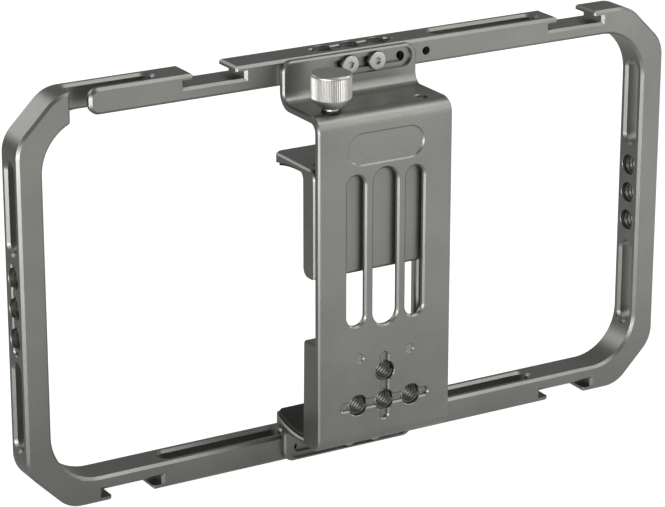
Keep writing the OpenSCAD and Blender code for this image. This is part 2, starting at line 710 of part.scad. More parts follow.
module movable_jaw() {
    ledge_y = jaw_y + jaw_bend_r;
    ledge_z = jaw_top_z - ledge_tip_t;
    web = (cradle_t - jaw_edge) / 2;
    color("#7d7e78") translate([-bracket_x, 0, 0]) difference() {
        union() {
            translate([0, jaw_y, jaw_bottom_z]) linear_extrude(jaw_h - jaw_bend_r)
                polygon(strip(bracket_w, jaw_t, jaw_edge));
            translate([0, ledge_y, jaw_top_z - jaw_bend_r])
                bend(strip(bracket_w, jaw_bend_r, jaw_edge), jaw_bend_r, -1, 180);
            difference() {
                translate([0, ledge_y, ledge_z])
                    tongue(bracket_w, jaw_tip_y - ledge_y, tip_r, ledge_tip_t, jaw_edge);
                translate([0, jaw_back_y, jaw_top_z - cradle_t - ledge_hollow_r])
                    cradle_hollow(ledge_hollow_r, bracket_w, 0);
                rounded_edge(jaw_tip_y, ledge_z, jaw_toe_r / 2, -1);
            }
            translate([-bracket_w / 2, jaw_back_y, jaw_top_z - cradle_t - jaw_inner_r])
                rotate([90, 0, 90]) linear_extrude(bracket_w) intersection() {
                    rotate(-90) translate([-jaw_inner_r, 0]) corner_waste(jaw_inner_r);
                    translate([-web, 0]) square(jaw_inner_r + web);
                }
        }
        rounded_edge(jaw_back_y, jaw_bottom_z, jaw_heel_r, -1);
        rounded_edge(jaw_y, jaw_bottom_z, jaw_toe_r, 1);
        translate([screw_x, axis_y, jaw_bottom_z - cut])
            cylinder(h = jaw_h + 2 * cut, r = screw_d / 2 + run_fit);
        translate([screw_x, axis_y, jaw_top_z - jaw_recess_l])
            cylinder(h = jaw_recess_l + cut, d = jaw_recess_d);
        translate([drive_x, axis_y, jaw_bottom_z - cut])
            cylinder(h = jaw_h + 2 * cut, r = rod_d / 2 + run_fit);
        translate([0, jaw_back_y, jaw_pad_z()]) rotate([-90, 0, 0])
            face_plate(face_pad_w(), jaw_pad_h, -pad_sunk, cut);
    }
}

// A curved pad that lines a hollow of radius r, with its axis where cradle_hollow has it
module cradle_pad(r, reach) {
    w = bracket_w - 2 * pad_margin;
    l = reach - tip_flat - seat_fit - jaw_inner_r;
    outer = r - seat_fit;
    intersection() {
        translate([-w / 2, cradle_in, 0]) rotate([0, 90, 0]) difference() {
            cylinder(h = w, r = outer);
            translate([0, 0, -cut]) cylinder(h = w + 2 * cut, r = outer - pad_t);
        }
        translate([0, jaw_inner_r + l / 2, -r - cut]) linear_extrude(r)
            round_rectangle(w, l, pad_corner_r);
    }
}

module hook_edge_pad() {
    color("#2e2d2b")
        translate([-bracket_x, block_y, hook_z + cradle_t + hook_hollow_r])
            cradle_pad(hook_hollow_r, hook_reach);
}

module jaw_edge_pad() {
    color("#2e2d2b")
        translate([-bracket_x, jaw_back_y, jaw_top_z - cradle_t - ledge_hollow_r])
            mirror([0, 0, 1]) cradle_pad(ledge_hollow_r, jaw_reach);
}

module block_face_pad() {
    color("#2e2d2b") translate([-bracket_x, block_y, block_pad_z()]) rotate([-90, 0, 0])
        face_plate(face_pad_w() - 2 * seat_fit, block_pad_h - 2 * seat_fit,
            seat_fit - pad_sunk, pad_t - pad_sunk);
}

module jaw_face_pad() {
    color("#2e2d2b") translate([-bracket_x, jaw_back_y, jaw_pad_z()]) rotate([-90, 0, 0])
        face_plate(face_pad_w() - 2 * seat_fit, jaw_pad_h - 2 * seat_fit,
            seat_fit - pad_sunk, pad_t - pad_sunk);
}

module guide_rod() {
    l = shelf_z - rod_sunk - drive_end_z - seat_fit;
    color("#b9b9b4") translate([drive_x - bracket_x, axis_y, drive_end_z + seat_fit])
        turned(rim_half(rod_d / 2, l, rod_edge));
}

module pin(side) {
    l = block_t - pin_sunk - pad_sunk;
    color("#8b8a82") translate([side * pin_x - bracket_x, plate_y + pin_sunk, pin_z])
        rotate([-90, 0, 0]) turned(rim_half(pin_d / 2, l, seat_fit));
}

module left_pin() {
    pin(-1);
}

module right_pin() {
    pin(1);
}

// The outline of the straight knurl, with pointed teeth of outer radius r
module knurl(r) {
    polygon([for (i = [0 : 2 * knurl_count - 1])
        let (a = 180 * i / knurl_count, q = r - (i % 2) * knurl_d) q * [cos(a), sin(a)]]);
}

// The cone's outline, from its small end up to the radius r
function knob_cone(r) = [for (i = [0 : 5]) let (t = i / 5, k = knob_bowl_share)
    [knob_cone_d / 2 + (r - knob_cone_d / 2) * ((1 - k) * t + k * sin(90 * t)),
        knob_neck_h + (knob_cone_h - knob_neck_h) * ((1 - k) * t + k * (1 - cos(90 * t)))]];

module clamp_knob() {
    r = knob_d / 2;
    core = r - knurl_d - 2 * seat_fit;
    rim_z = knob_h - knob_rim_h;
    color("#b8b8b4") translate([screw_x - bracket_x, axis_y, knob_z]) difference() {
        union() {
            turned(concat([[0, 0], [knob_neck_d / 2, 0], [knob_neck_d / 2, knob_neck_h]],
                knob_cone(core), [[core, rim_z], [r, rim_z], [r, knob_h - knob_edge],
                [r - knob_edge, knob_h], [0, knob_h]]));
            translate([0, 0, knob_cone_h]) linear_extrude(rim_z - knob_cone_h + seat_fit)
                knurl(r - seat_fit);
        }
        translate([0, 0, -cut]) cylinder(h = knob_bore_l + cut, r = screw_d / 2 + seat_fit);
    }
}

module lead_screw() {
    r = screw_d / 2;
    bottom = drive_end_z + face_gap;
    top = knob_z + knob_bore_l - face_gap;
    groove_top = clip_top_z + seat_fit - bottom;
    groove_bottom = groove_top - clip_t - 2 * seat_fit;
    color("#a9a9a5") translate([screw_x - bracket_x, axis_y, bottom])
        turned([[0, 0], [r - 2 * face_gap, 0], [r, 2 * face_gap],
            [r, groove_bottom], [clip_groove_d / 2, groove_bottom],
            [clip_groove_d / 2, groove_top], [r, groove_top],
            [r, top - bottom], [0, top - bottom]]);
}

// A flat washer of thickness t, round a shaft of radius r
module washer(d, t, r) {
    turned([[r, 0], [d / 2, 0], [d / 2, t], [r, t]]);
}

module knob_washer() {
    color("#232322") translate([screw_x - bracket_x, axis_y, shelf_z + face_gap])
        washer(knob_washer_d, knob_washer_t, screw_d / 2 + run_fit);
}

module clip_washer() {
    color("#9a9a95") translate([screw_x - bracket_x, axis_y, clip_top_z + run_fit])
        washer(clip_d, clip_washer_t, screw_d / 2 + run_fit);
}

module retaining_clip() {
    color("#4a4a48") translate([screw_x - bracket_x, axis_y, clip_top_z - clip_t])
        difference() {
            washer(clip_d, clip_t, clip_groove_d / 2 + seat_fit);
            translate([-clip_mouth_w / 2, 0, -cut])
                cube([clip_mouth_w, clip_d, clip_t + 2 * cut]);
        }
}

// One clamp screw, at the small hole left or right of the middle, at height z
module clamp_screw(side, z) {
    seat_y = flange_y + recess_d - face_gap;
    grip = frame_y - face_gap - seat_y;
    color("#a9a8a4") translate([side * quarter_pitch / 2, seat_y, z])
        rotate([-90, 0, 0]) difference() {
            turned([[0, -head_t], [head_d / 2 - head_edge, -head_t],
                [head_d / 2, head_edge - head_t], [head_d / 2, 0], [shank_d / 2, 0],
                [shank_d / 2, grip], [small_hole_d / 2 - run_fit, grip],
                [small_hole_d / 2 - run_fit, grip + face_gap + thread_l],
                [0, grip + face_gap + thread_l]]);
            translate([0, 0, -head_t - cut])
                cylinder(h = socket_d + cut, r = socket_af / 2 / cos(30), $fn = 6);
        }
}

module upper_left_screw() {
    clamp_screw(-1, top_row_z);
}

module upper_right_screw() {
    clamp_screw(1, top_row_z);
}

module lower_left_screw() {
    clamp_screw(-1, bottom_row_z);
}

module lower_right_screw() {
    clamp_screw(1, bottom_row_z);
}

cage_frame();
clamp_bracket();
movable_jaw();
hook_edge_pad();
block_face_pad();
jaw_edge_pad();
jaw_face_pad();
guide_rod();
left_pin();
right_pin();
clamp_knob();
lead_screw();
knob_washer();
clip_washer();
retaining_clip();
upper_left_screw();
upper_right_screw();
lower_left_screw();
lower_right_screw();
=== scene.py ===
# %% [markdown]
# # A phone cage, dressed
#
# The object is a milled aluminium window frame with a clamp bracket on its front. This
# script gives them their finish, and makes the things that only show: screw threads, the
# knurl, the screws' heads, the pads.
#
# Everything is in metres. +X is to the right, the clamp plate faces -Y, and the cage stands
# on Z = 0.

# %% Load the frame
import json
import math

import bmesh
import bpy
from mathutils import Matrix, Vector


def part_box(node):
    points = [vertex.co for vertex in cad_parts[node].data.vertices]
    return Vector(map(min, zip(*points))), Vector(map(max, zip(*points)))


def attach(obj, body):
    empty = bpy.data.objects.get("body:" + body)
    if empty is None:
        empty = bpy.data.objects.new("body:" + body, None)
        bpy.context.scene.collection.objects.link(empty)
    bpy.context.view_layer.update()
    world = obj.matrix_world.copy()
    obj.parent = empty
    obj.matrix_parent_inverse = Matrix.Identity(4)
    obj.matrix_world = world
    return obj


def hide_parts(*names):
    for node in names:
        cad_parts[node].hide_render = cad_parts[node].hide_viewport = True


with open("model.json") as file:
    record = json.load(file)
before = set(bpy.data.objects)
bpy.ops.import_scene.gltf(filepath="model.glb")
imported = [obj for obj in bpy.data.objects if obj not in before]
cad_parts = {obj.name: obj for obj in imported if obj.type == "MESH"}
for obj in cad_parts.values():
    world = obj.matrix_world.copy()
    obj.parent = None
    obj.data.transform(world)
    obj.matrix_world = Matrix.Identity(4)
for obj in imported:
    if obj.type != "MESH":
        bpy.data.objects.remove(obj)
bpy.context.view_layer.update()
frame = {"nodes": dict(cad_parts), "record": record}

MM = 0.001
mounts = {mount["name"]: mount for mount in frame["record"]["mounts"]}

# %% [markdown]
# ## Three small tools
#
# Colours are written as a designer picks them, in sRGB hex. Shaders want linear light, so
# one function turns them. Another adds a node with its settings and links, which keeps each
# material down to the lines that say what it is. The third turns the size of a grain or a
# cloud, in millimetres, into a texture's scale: on Object coordinates, in metres, a scale
# of 1000 gives features about a millimetre across.

# %% Colour, node and scale


def linear(code):
    """An sRGB hex colour as linear red, green, blue and alpha."""
    # The curve is the sRGB standard's own: straight near black, and a power above.
    channels = [int(code[i:i + 2], 16) / 255 for i in (1, 3, 5)]
    return [c / 12.92 if c <= 0.04045 else ((c + 0.055) / 1.055) ** 2.4 for c in channels] + [1.0]


def add(tree, kind, inputs=None, **settings):
    """Adds a node. An input is given as a value or as the socket that feeds it."""
    made = tree.nodes.new(kind)
    for name, value in settings.items():
        setattr(made, name, value)
    for name, value in (inputs or {}).items():
        if isinstance(value, bpy.types.NodeSocket):
            tree.links.new(value, made.inputs[name])
        else:
            made.inputs[name].default_value = value
    return made


def grain(size_mm):
    """The texture scale whose features are about this many millimetres across."""
    return 1 / (size_mm * MM)


print("mid grey", [round(c, 3) for c in linear("#808080")])

# %% [markdown]
# ## A material to start from
#
# Every finish here is a Principled shader with a pattern on the piece's own coordinates.
# A large soft cloud varies the colour by a shade, because no real coating is even, and a
# fine grain varies the roughness and tilts the surface a little. What changes from one
# finish to the next is only the two colours, the sizes and the strengths, so one function
# makes them and each finish below is a call with its real values. An image of a real
# surface could do it too, but it would show its edges and repeat, and a noise doesn't.

# %% A finish
CLOUD_DETAIL = 3.0
GRAIN_DETAIL = 2.0
GRAIN_SHARE = 0.5
# A noise seldom leaves these limits, so they count as its darkest and its lightest.
COLOUR_ENDS = (0.35, 0.65)
ROUGHNESS_ENDS = (0.3, 0.7)


def finish(name, dark, light, metallic, roughness, cloud_mm, grain_mm, pit_mm, stretch=(1, 1, 1)):
    """A finish between two shades, with a roughness range and pits of a real depth."""
    material = bpy.data.materials.new(name)
    material.use_nodes = True
    tree = material.node_tree
    shader = tree.nodes["Principled BSDF"]
    coordinates = add(tree, "ShaderNodeTexCoord").outputs["Object"]
    drawn = add(tree, "ShaderNodeMapping", {"Vector": coordinates, "Scale": stretch})
    cloud = add(tree, "ShaderNodeTexNoise",
                {"Vector": coordinates, "Scale": grain(cloud_mm), "Detail": CLOUD_DETAIL})
    fine = add(tree, "ShaderNodeTexNoise",
               {"Vector": drawn.outputs["Vector"], "Scale": grain(grain_mm), "Detail": GRAIN_DETAIL})
    share = add(tree, "ShaderNodeMix", {"Factor": GRAIN_SHARE, "A": cloud.outputs["Fac"],
                                        "B": fine.outputs["Fac"]}, data_type="FLOAT")
    spread = add(tree, "ShaderNodeMapRange",
                 {"Value": share.outputs["Result"], "From Min": COLOUR_ENDS[0],
                  "From Max": COLOUR_ENDS[1]})
    colour = add(tree, "ShaderNodeMix", {"Factor": spread.outputs["Result"], "A": linear(dark),
                                         "B": linear(light)}, data_type="RGBA")
    rough = add(tree, "ShaderNodeMapRange",
                {"Value": fine.outputs["Fac"], "From Min": ROUGHNESS_ENDS[0],
                 "From Max": ROUGHNESS_ENDS[1], "To Min": roughness[0], "To Max": roughness[1]})
    bump = add(tree, "ShaderNodeBump", {"Height": fine.outputs["Fac"], "Strength": 1.0,
                                        "Distance": pit_mm * MM})
    tree.links.new(colour.outputs["Result"], shader.inputs["Base Color"])
    tree.links.new(rough.outputs["Result"], shader.inputs["Roughness"])
    tree.links.new(bump.outputs["Normal"], shader.inputs["Normal"])
    shader.inputs["Metallic"].default_value = metallic
    return material


print("a fine grain of 0.35 mm has the scale", round(grain(0.35)))

# %% [markdown]
# ## The finishes of this object
#
# - The cage, bracket and jaw are aluminium, blasted with glass beads and anodised a warm
#   grey. The beads leave pits about a tenth of a millimetre across, which scatter the light
#   softly. They are drawn at 0.35 mm, since finer ones would not show.
# - A thread is cut after the blasting and anodised with the rest, so its flanks are smooth.
# - The knob is turned brass under satin nickel: lighter, and smoother than the blasted
#   parts. Fine marks of the lathe run round it, so its grain is pressed flat along the axis.
# - The clamp screws are steel under nickel, the lightest metal here.
# - The lead screw, the guide rod and the clip's washer are ground stainless steel, the most
#   mirror-like. Their grain is pressed flatter still.
# - The two pins are ground steel, darker and duller than the rod. The marks on all these
#   smooth metals are a few hundredths of a millimetre, and are drawn at 0.4 to 0.5 mm.
# - The clip is blued spring steel, the thin washer nylon, and the pads moulded silicone:
#   three near blacks, of which only the clip shines.
#
# One shared metal would be less work, but side by side the nickel, the steel and the
# anodised grey are what tell the pieces apart.

# %% Metals and rubbers
anodised = finish("bead_blasted_anodised_aluminium", "#858581", "#969691", 1.0, (0.34, 0.44),
                  cloud_mm=22, grain_mm=0.35, pit_mm=0.0045)
thread_cut = finish("anodised_aluminium_in_cut_threads", "#8f8f89", "#a0a09a", 0.9, (0.38, 0.48),
                    cloud_mm=6, grain_mm=0.5, pit_mm=0.0005)
nickel = finish("satin_nickel_plate", "#b0afab", "#bbbab6", 1.0, (0.36, 0.44),
                cloud_mm=5, grain_mm=0.4, pit_mm=0.0004, stretch=(1, 1, 4))
screw_nickel = finish("nickel_plated_screw_steel", "#bab9b4", "#c6c5c0", 1.0, (0.3, 0.4),
                      cloud_mm=3, grain_mm=0.4, pit_mm=0.0005)
steel = finish("ground_stainless_steel", "#b0b0ac", "#bfbfbb", 1.0, (0.16, 0.26),
               cloud_mm=6, grain_mm=0.5, pit_mm=0.0004, stretch=(1, 1, 8))
pin_steel = finish("ground_dowel_pin_steel", "#93928b", "#9d9c95", 1.0, (0.3, 0.4),
                   cloud_mm=3, grain_mm=0.5, pit_mm=0.0005)
blued = finish("blued_spring_steel", "#3f4045", "#4c4d52", 1.0, (0.3, 0.4),
               cloud_mm=2, grain_mm=0.4, pit_mm=0.0005)
nylon = finish("punched_black_nylon", "#1f1f1e", "#272726", 0.0, (0.45, 0.6),
               cloud_mm=2, grain_mm=0.3, pit_mm=0.01)
silicone = finish("moulded_black_silicone", "#262523", "#302f2c", 0.0, (0.62, 0.78),
                  cloud_mm=8, grain_mm=0.45, pit_mm=0.02)
finishes = (anodised, thread_cut, nickel, screw_nickel, steel, pin_steel, blued, nylon, silicone)
print("finishes:", ", ".join(material.name for material in finishes))

# %% [markdown]
# ## Painted shade in the roots, painted highlight on the crests
#
# A thread's roots lie in shade and its crests catch the light. Here each thread stores how
# high a point lies on its ridge, as an attribute called crest, and the material scales its
# own colour by it: down at the roots, as painted shade, and past the colour at the crests, as a
# painted highlight, so that the turns read even where they are two pixels wide.

# %% Painted shade and highlight of a thread
# Painted shade: the roots fall to this share of the colour. Painted highlight: the crests rise past it.
ROOT_SHADE_TONE = 0.12
CREST_HIGHLIGHT_TONE = 1.15
tree = thread_cut.node_tree
base = tree.nodes["Principled BSDF"].inputs["Base Color"]
crest = add(tree, "ShaderNodeAttribute", attribute_name="crest")
painted_shade_and_highlight = add(tree, "ShaderNodeMapRange", {"Value": crest.outputs["Fac"], "To Min": ROOT_SHADE_TONE,
                                        "To Max": CREST_HIGHLIGHT_TONE})
toned = add(tree, "ShaderNodeVectorMath", {0: base.links[0].from_socket,
                                           "Scale": painted_shade_and_highlight.outputs["Result"]}, operation="SCALE")
tree.links.new(toned.outputs["Vector"], base)
print(thread_cut.name, "runs from", ROOT_SHADE_TONE, "to", CREST_HIGHLIGHT_TONE, "of its colour")

# %% [markdown]
# ## Smooth copies
#
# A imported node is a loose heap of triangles, so a bend would shade as facets. It could be
# rebuilt by hand, but its shape is already right. So a copy is merged, its flats are made
# whole, and every edge sharper than 30 degrees is marked. The copy then stands for the node.

# %% Merged copy
WELD = 0.002 * MM
FLAT_WITHIN = math.radians(0.5)
EDGE_SHARP = 30


def linked(name, data):
    """A new object in the scene."""
    made = bpy.data.objects.new(name, data)
    bpy.context.scene.collection.objects.link(made)
    return made


def plain(carrier, name):
    """The mesh that an object's modifiers make, as a plain object at the origin."""
    evaluated = carrier.evaluated_get(bpy.context.evaluated_depsgraph_get())
    mesh = bpy.data.meshes.new_from_object(evaluated)
    mesh.name = name
    bpy.data.objects.remove(carrier)
    return linked(name, mesh)


def written(work, mesh):
    """Turns the faces of a working mesh outwards and writes it to a mesh."""
    bmesh.ops.recalc_face_normals(work, faces=work.faces)
    work.to_mesh(mesh)
    work.free()
    return mesh


def merged(node):
    """A node's mesh with its loose triangles joined and its flats made whole."""
    work = bmesh.new()
    work.from_mesh(frame["nodes"][node].data)
    bmesh.ops.remove_doubles(work, verts=work.verts, dist=WELD)
    bmesh.ops.dissolve_degenerate(work, edges=work.edges, dist=WELD)
    bmesh.ops.dissolve_limit(work, angle_limit=FLAT_WITHIN, verts=work.verts, edges=work.edges)
    mesh = bpy.data.meshes.new(node + "_merged")
    work.to_mesh(mesh)
    work.free()
    for name in ("custom_normal", "sharp_face", "sharp_edge"):
        if name in mesh.attributes:
            mesh.attributes.remove(mesh.attributes[name])
    return mesh


def shade(mesh, degrees=EDGE_SHARP):
    """Smooth shading with every sharper edge left sharp."""
    mesh.shade_smooth()
    mesh.set_sharp_from_angle(angle=math.radians(degrees))


bracket = merged("clamp_bracket")
cage = merged("cage_frame")
print("merged copies:", len(bracket.polygons), "and", len(cage.polygons), "faces")

# %% [markdown]
# ## The shallow pocket
#
# The pocket near the top of the plate is a slot with round ends, and its cutter leaves no
# upright wall: the chamfer runs down to the floor. A boolean could cut it anew, but the two
# rings of points that bound the chamfer are there already, so they are moved.

# %% Pocket
# These are in millimetres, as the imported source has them.
POCKET_Z = 100.2
POCKET_HALF_SPINE = 7.85
POCKET_END_R = 4.5
POCKET_DEPTH = 0.4
NEAR = 0.05
ON_PLANE = 0.01
low, high = [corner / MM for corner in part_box("clamp_bracket")]
middle_x = (low.x + high.x) / 2
moved = 0
for vertex in bracket.vertices:
    place = vertex.co / MM
    along = max(-POCKET_HALF_SPINE, min(POCKET_HALF_SPINE, place.x - middle_x))
    nearest = Vector((along + middle_x, place.y, POCKET_Z))
    away = place - nearest
    past_wall = away.length - POCKET_END_R
    sunk = place.y - low.y
    if abs(past_wall - POCKET_DEPTH / 2) < NEAR and abs(sunk) < ON_PLANE:
        vertex.co = (nearest + away.normalized() * (POCKET_END_R + POCKET_DEPTH)) * MM
        moved += 1
    elif abs(past_wall) < NEAR and abs(sunk - POCKET_DEPTH / 2) < ON_PLANE:
        vertex.co.y = (low.y + POCKET_DEPTH) * MM
        moved += 1
print(moved, "points of the pocket moved")

# %% [markdown]
# ## Broken edges on the bracket
#
# Every edge of the real bracket is broken, so that it doesn't cut the hand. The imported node
# has most of these chamfers. It lacks the narrow ones round the pins' holes and those on the
# corners of the block behind the plate. A Bevel modifier would take every sharp edge of the
# piece, so the bevel is run here on the square edges inside a few boxes only.

# %% Edges of the bracket
SQUARE_FROM = math.radians(60)
PIN_RIM = 0.25 * MM
BLOCK_EDGE = 0.6 * MM
# These too are in millimetres.
PLATE_DEPTH = 2.0
BLOCK_DEPTH = 8.9
BLOCK_TOP_Z = 42.8
BLOCK_LOW_Z = 11.4


def around(start, end, margin):
    """A box, in millimetres, that is a margin larger than its two corners all round."""
    room = Vector((margin, margin, margin))
    return Vector(start) - room, Vector(end) + room


def eased(mesh, boxes, width):
    """Chamfers the square edges of a mesh that lie inside one of the boxes."""
    work = bmesh.new()
    work.from_mesh(mesh)
    square = []
    for edge in work.edges:
        if len(edge.link_faces) != 2 or edge.calc_face_angle(0) < SQUARE_FROM:
            continue
        ends = [v.co / MM for v in edge.verts]
        if edge.is_convex and any(all(low[i] <= end[i] <= high[i] for end in ends for i in range(3))
                                  for low, high in boxes):
            square.append(edge)
    bmesh.ops.bevel(work, geom=square, offset=width, offset_type="OFFSET", segments=1,
                    affect="EDGES", clamp_overlap=True)
    bmesh.ops.remove_doubles(work, verts=work.verts, dist=WELD)
    written(work, mesh)
    print(len(square), "edges eased by", round(width / MM, 2), "mm")


rims = []
for pin in ("left_pin", "right_pin"):
    pin_low, pin_high = [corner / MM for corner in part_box(pin)]
    rims.append(around((pin_low.x, low.y, pin_low.z), (pin_high.x, low.y, pin_high.z), margin=0.2))
eased(bracket, rims, PIN_RIM)
plate_back = low.y + PLATE_DEPTH
block_back = low.y + BLOCK_DEPTH
corners = [((x, plate_back, BLOCK_LOW_Z), (x, block_back, BLOCK_TOP_Z)) for x in (low.x, high.x)]
corners.append(((low.x, block_back, BLOCK_TOP_Z), (high.x, block_back, BLOCK_TOP_Z)))
eased(bracket, [around(start, end, margin=0.1) for start, end in corners], BLOCK_EDGE)

# %% [markdown]
# ## The gap in one strap slot
#
# The strap slot at the top left has a gap in its wall, so that a strap can be slipped in
# sideways. On the real frame the wall beside the gap is a little shorter than on the packed
# node. It could be cut with a boolean, but its end is only a few points, so they are moved.

# %% Wall beside the gap
WALL_END_X = -91.2
WALL_END_ROOM = 0.1
SHORTER_END_X = -91.9
WALL_BACK_Y = 14.0
WALL_TOP_Z = 114.31
moved = 0
for vertex in cage.vertices:
    place = vertex.co / MM
    in_plan = abs(place.x - WALL_END_X) < WALL_END_ROOM and place.y < WALL_BACK_Y
    if in_plan and place.z < WALL_TOP_Z:
        vertex.co.x = SHORTER_END_X * MM
        moved += 1
print(moved, "points moved by", round(WALL_END_X - SHORTER_END_X, 2), "mm")

# %% [markdown]
# ## The milled pieces
#
# The frame, the bracket and the jaw are milled and anodised alike, so all three wear the
# same finish. One joined mesh would do for the looks, but each of them rides another body,
# so each is a piece of its own. A bend next to a large flat still shades unevenly, so the
# Weighted Normal modifier lets the large faces rule. Its full weight is 100.

# %% Milled pieces
FULL_WEIGHT = 100


def dressed(node, mesh, name, body):
    """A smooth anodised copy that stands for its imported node."""
    shade(mesh)
    mesh.materials.clear()
    mesh.materials.append(anodised)
    carrier = linked(name + "_carrier", mesh)
    even = carrier.modifiers.new("even_shading", "WEIGHTED_NORMAL")
    even.keep_sharp = True
    even.weight = FULL_WEIGHT
    piece = plain(carrier, name)
    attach(piece, body)
    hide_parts(node)
    print(name, len(piece.data.polygons), "faces")


dressed("cage_frame", cage, "milled_frame", "frame")
dressed("clamp_bracket", bracket, "milled_bracket", "bracket")
dressed("movable_jaw", merged("movable_jaw"), "milled_jaw", "jaw")

# %% [markdown]
# ## The small steel and nylon pieces
#
# The guide rod, the two pins, the washers and the clip are simple turned or punched shapes.
# They could be made again as smooth lathe work, but hardly more than an end of each shows. So
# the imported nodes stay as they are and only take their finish.

# %% Small pieces
small_pieces = {"guide_rod": steel, "left_pin": pin_steel, "right_pin": pin_steel,
                "knob_washer": nylon, "clip_washer": steel, "retaining_clip": blued}
for node, material in small_pieces.items():
    mesh = frame["nodes"][node].data
    mesh.materials.clear()
    mesh.materials.append(material)
    print(node, "is", material.name)

# %% [markdown]
# ## Helpers for the node trees
#
# What repeats here is made by Geometry Nodes: thread turns, knurl teeth, screws. The trees
# could be drawn in the editor, but built here they can be read and changed. All start with
# named inputs, take values by each input's identifier, and end with real geometry in its
# material. Three helpers hold these shared parts.

# %% Tree helpers


def node_tree(name, sizes, counts=()):
    """An empty Geometry Nodes tree with named inputs, and its input and output nodes."""
    tree = bpy.data.node_groups.new(name, "GeometryNodeTree")
    tree.interface.new_socket("Geometry", in_out="INPUT", socket_type="NodeSocketGeometry")
    for size in sizes:
        tree.interface.new_socket(size, in_out="INPUT", socket_type="NodeSocketFloat")
    for count in counts:
        tree.interface.new_socket(count, in_out="INPUT", socket_type="NodeSocketInt")
    tree.interface.new_socket("Material", in_out="INPUT", socket_type="NodeSocketMaterial")
    tree.interface.new_socket("Geometry", in_out="OUTPUT", socket_type="NodeSocketGeometry")
    return tree, add(tree, "NodeGroupInput").outputs, add(tree, "NodeGroupOutput")


def run_tree(carrier, tree, **values):
    """Gives an object the tree as a modifier, with its inputs set by identifier."""
    modifier = carrier.modifiers.new(tree.name, "NODES")
    modifier.node_group = tree
    for item in tree.interface.items_tree:
        key = item.name.replace(" ", "_").lower()
        if item.in_out == "INPUT" and key in values:
            modifier[item.identifier] = values[key]


def end_tree(tree, shape, material, out):
    """Every tree ends alike: real geometry with its material."""
    real = add(tree, "GeometryNodeRealizeInstances", {"Geometry": shape})
    painted = add(tree, "GeometryNodeSetMaterial",
                  {"Geometry": real.outputs["Geometry"], "Material": material})
    tree.links.new(painted.outputs["Geometry"], out.inputs["Geometry"])


print("helpers:", ", ".join(helper.__name__ for helper in (node_tree, run_tree, end_tree)))

# %% [markdown]
# ## Screw threads
#
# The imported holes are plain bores, and a thread is one ridge that winds down each of them.
# It could be a bump in a material, but the turns show in the photograph's large holes and
# catch the light, so they are real. Geometry Nodes wind it: a spiral curve carries a
# trapezium, and a copy goes to every point of the carrier mesh, turned to the direction
# that the point stores. The same tree cuts a thread inside a hole, where the crest has the
# smaller radius, and round a screw, where it has the larger. It also stores the attribute
# crest, 0 at the root and 1 at the crest, for the material.
#
# A real ridge is 0.875 of the pitch wide at its root and 0.25 at its crest. It is drawn
# thinner, because at this size turns that nearly touch would run into one grey.

# %% Thread tree
ROOT_SHARE = 0.72
CREST_SHARE = 0.12
tree, given, out = node_tree("threads", ("Root radius", "Crest radius", "Pitch", "Length"),
                             ("Steps per turn",))
both_radii = add(tree, "ShaderNodeMath", {0: given["Root radius"], 1: given["Crest radius"]},
                 operation="ADD").outputs[0]
middle = add(tree, "ShaderNodeMath", {0: both_radii, 1: 0.5}, operation="MULTIPLY").outputs[0]
turns = add(tree, "ShaderNodeMath", {0: given["Length"], 1: given["Pitch"]},
            operation="DIVIDE").outputs[0]
spiral = add(tree, "GeometryNodeCurveSpiral",
             {"Resolution": given["Steps per turn"], "Rotations": turns, "Start Radius": middle,
              "End Radius": middle, "Height": given["Length"], "Reverse": True})
upright = add(tree, "GeometryNodeSetCurveNormal", {"Curve": spiral.outputs["Curve"]})
upright.mode = "Z_UP"
root_width = add(tree, "ShaderNodeMath", {0: given["Pitch"], 1: ROOT_SHARE},
                 operation="MULTIPLY").outputs[0]
crest_width = add(tree, "ShaderNodeMath", {0: given["Pitch"], 1: CREST_SHARE},
                  operation="MULTIPLY").outputs[0]
profile = add(tree, "GeometryNodeCurvePrimitiveQuadrilateral",
              {"Bottom Width": root_width, "Top Width": crest_width, "Offset": 0.0,
               "Height": 1.0}, mode="TRAPEZOID")
depth = add(tree, "ShaderNodeMath", {0: given["Crest radius"], 1: given["Root radius"]},
            operation="SUBTRACT").outputs[0]
scale = add(tree, "ShaderNodeCombineXYZ", {"X": 1.0, "Y": depth, "Z": 1.0})
sized = add(tree, "GeometryNodeTransform",
            {"Geometry": profile.outputs["Curve"], "Scale": scale.outputs["Vector"]})
stood = add(tree, "GeometryNodeTransform",
            {"Geometry": sized.outputs["Geometry"], "Rotation": (0, 0, math.radians(90))})
ridge = add(tree, "GeometryNodeCurveToMesh",
            {"Curve": upright.outputs["Curve"], "Profile Curve": stood.outputs["Geometry"],
             "Fill Caps": True})
place = add(tree, "GeometryNodeInputPosition")
flat = add(tree, "ShaderNodeVectorMath", {0: place.outputs["Position"], 1: (1, 1, 0)},
           operation="MULTIPLY")
radius = add(tree, "ShaderNodeVectorMath", {0: flat.outputs["Vector"]}, operation="LENGTH")
# The crest attribute, 0 at the root and 1 at the crest, drives the painted shade and painted highlight
# of the thread material.
rise = add(tree, "ShaderNodeMapRange",
           {"Value": radius.outputs["Value"], "From Min": given["Root radius"],
            "From Max": given["Crest radius"]})
marked = add(tree, "GeometryNodeStoreNamedAttribute",
             {"Geometry": ridge.outputs["Mesh"], "Name": "crest", "Value": rise.outputs["Result"]},
             data_type="FLOAT", domain="POINT")
axis = add(tree, "GeometryNodeInputNamedAttribute", {"Name": "axis"}, data_type="FLOAT_VECTOR")
turned = add(tree, "FunctionNodeAlignRotationToVector", {"Vector": axis.outputs["Attribute"]}, axis="Z")
copies = add(tree, "GeometryNodeInstanceOnPoints",
             {"Points": given["Geometry"], "Instance": marked.outputs["Geometry"],
              "Rotation": turned.outputs["Rotation"]})
end_tree(tree, copies.outputs["Instances"], given["Material"], out)
thread_tree = tree
print("the thread tree has", len(tree.nodes), "nodes")

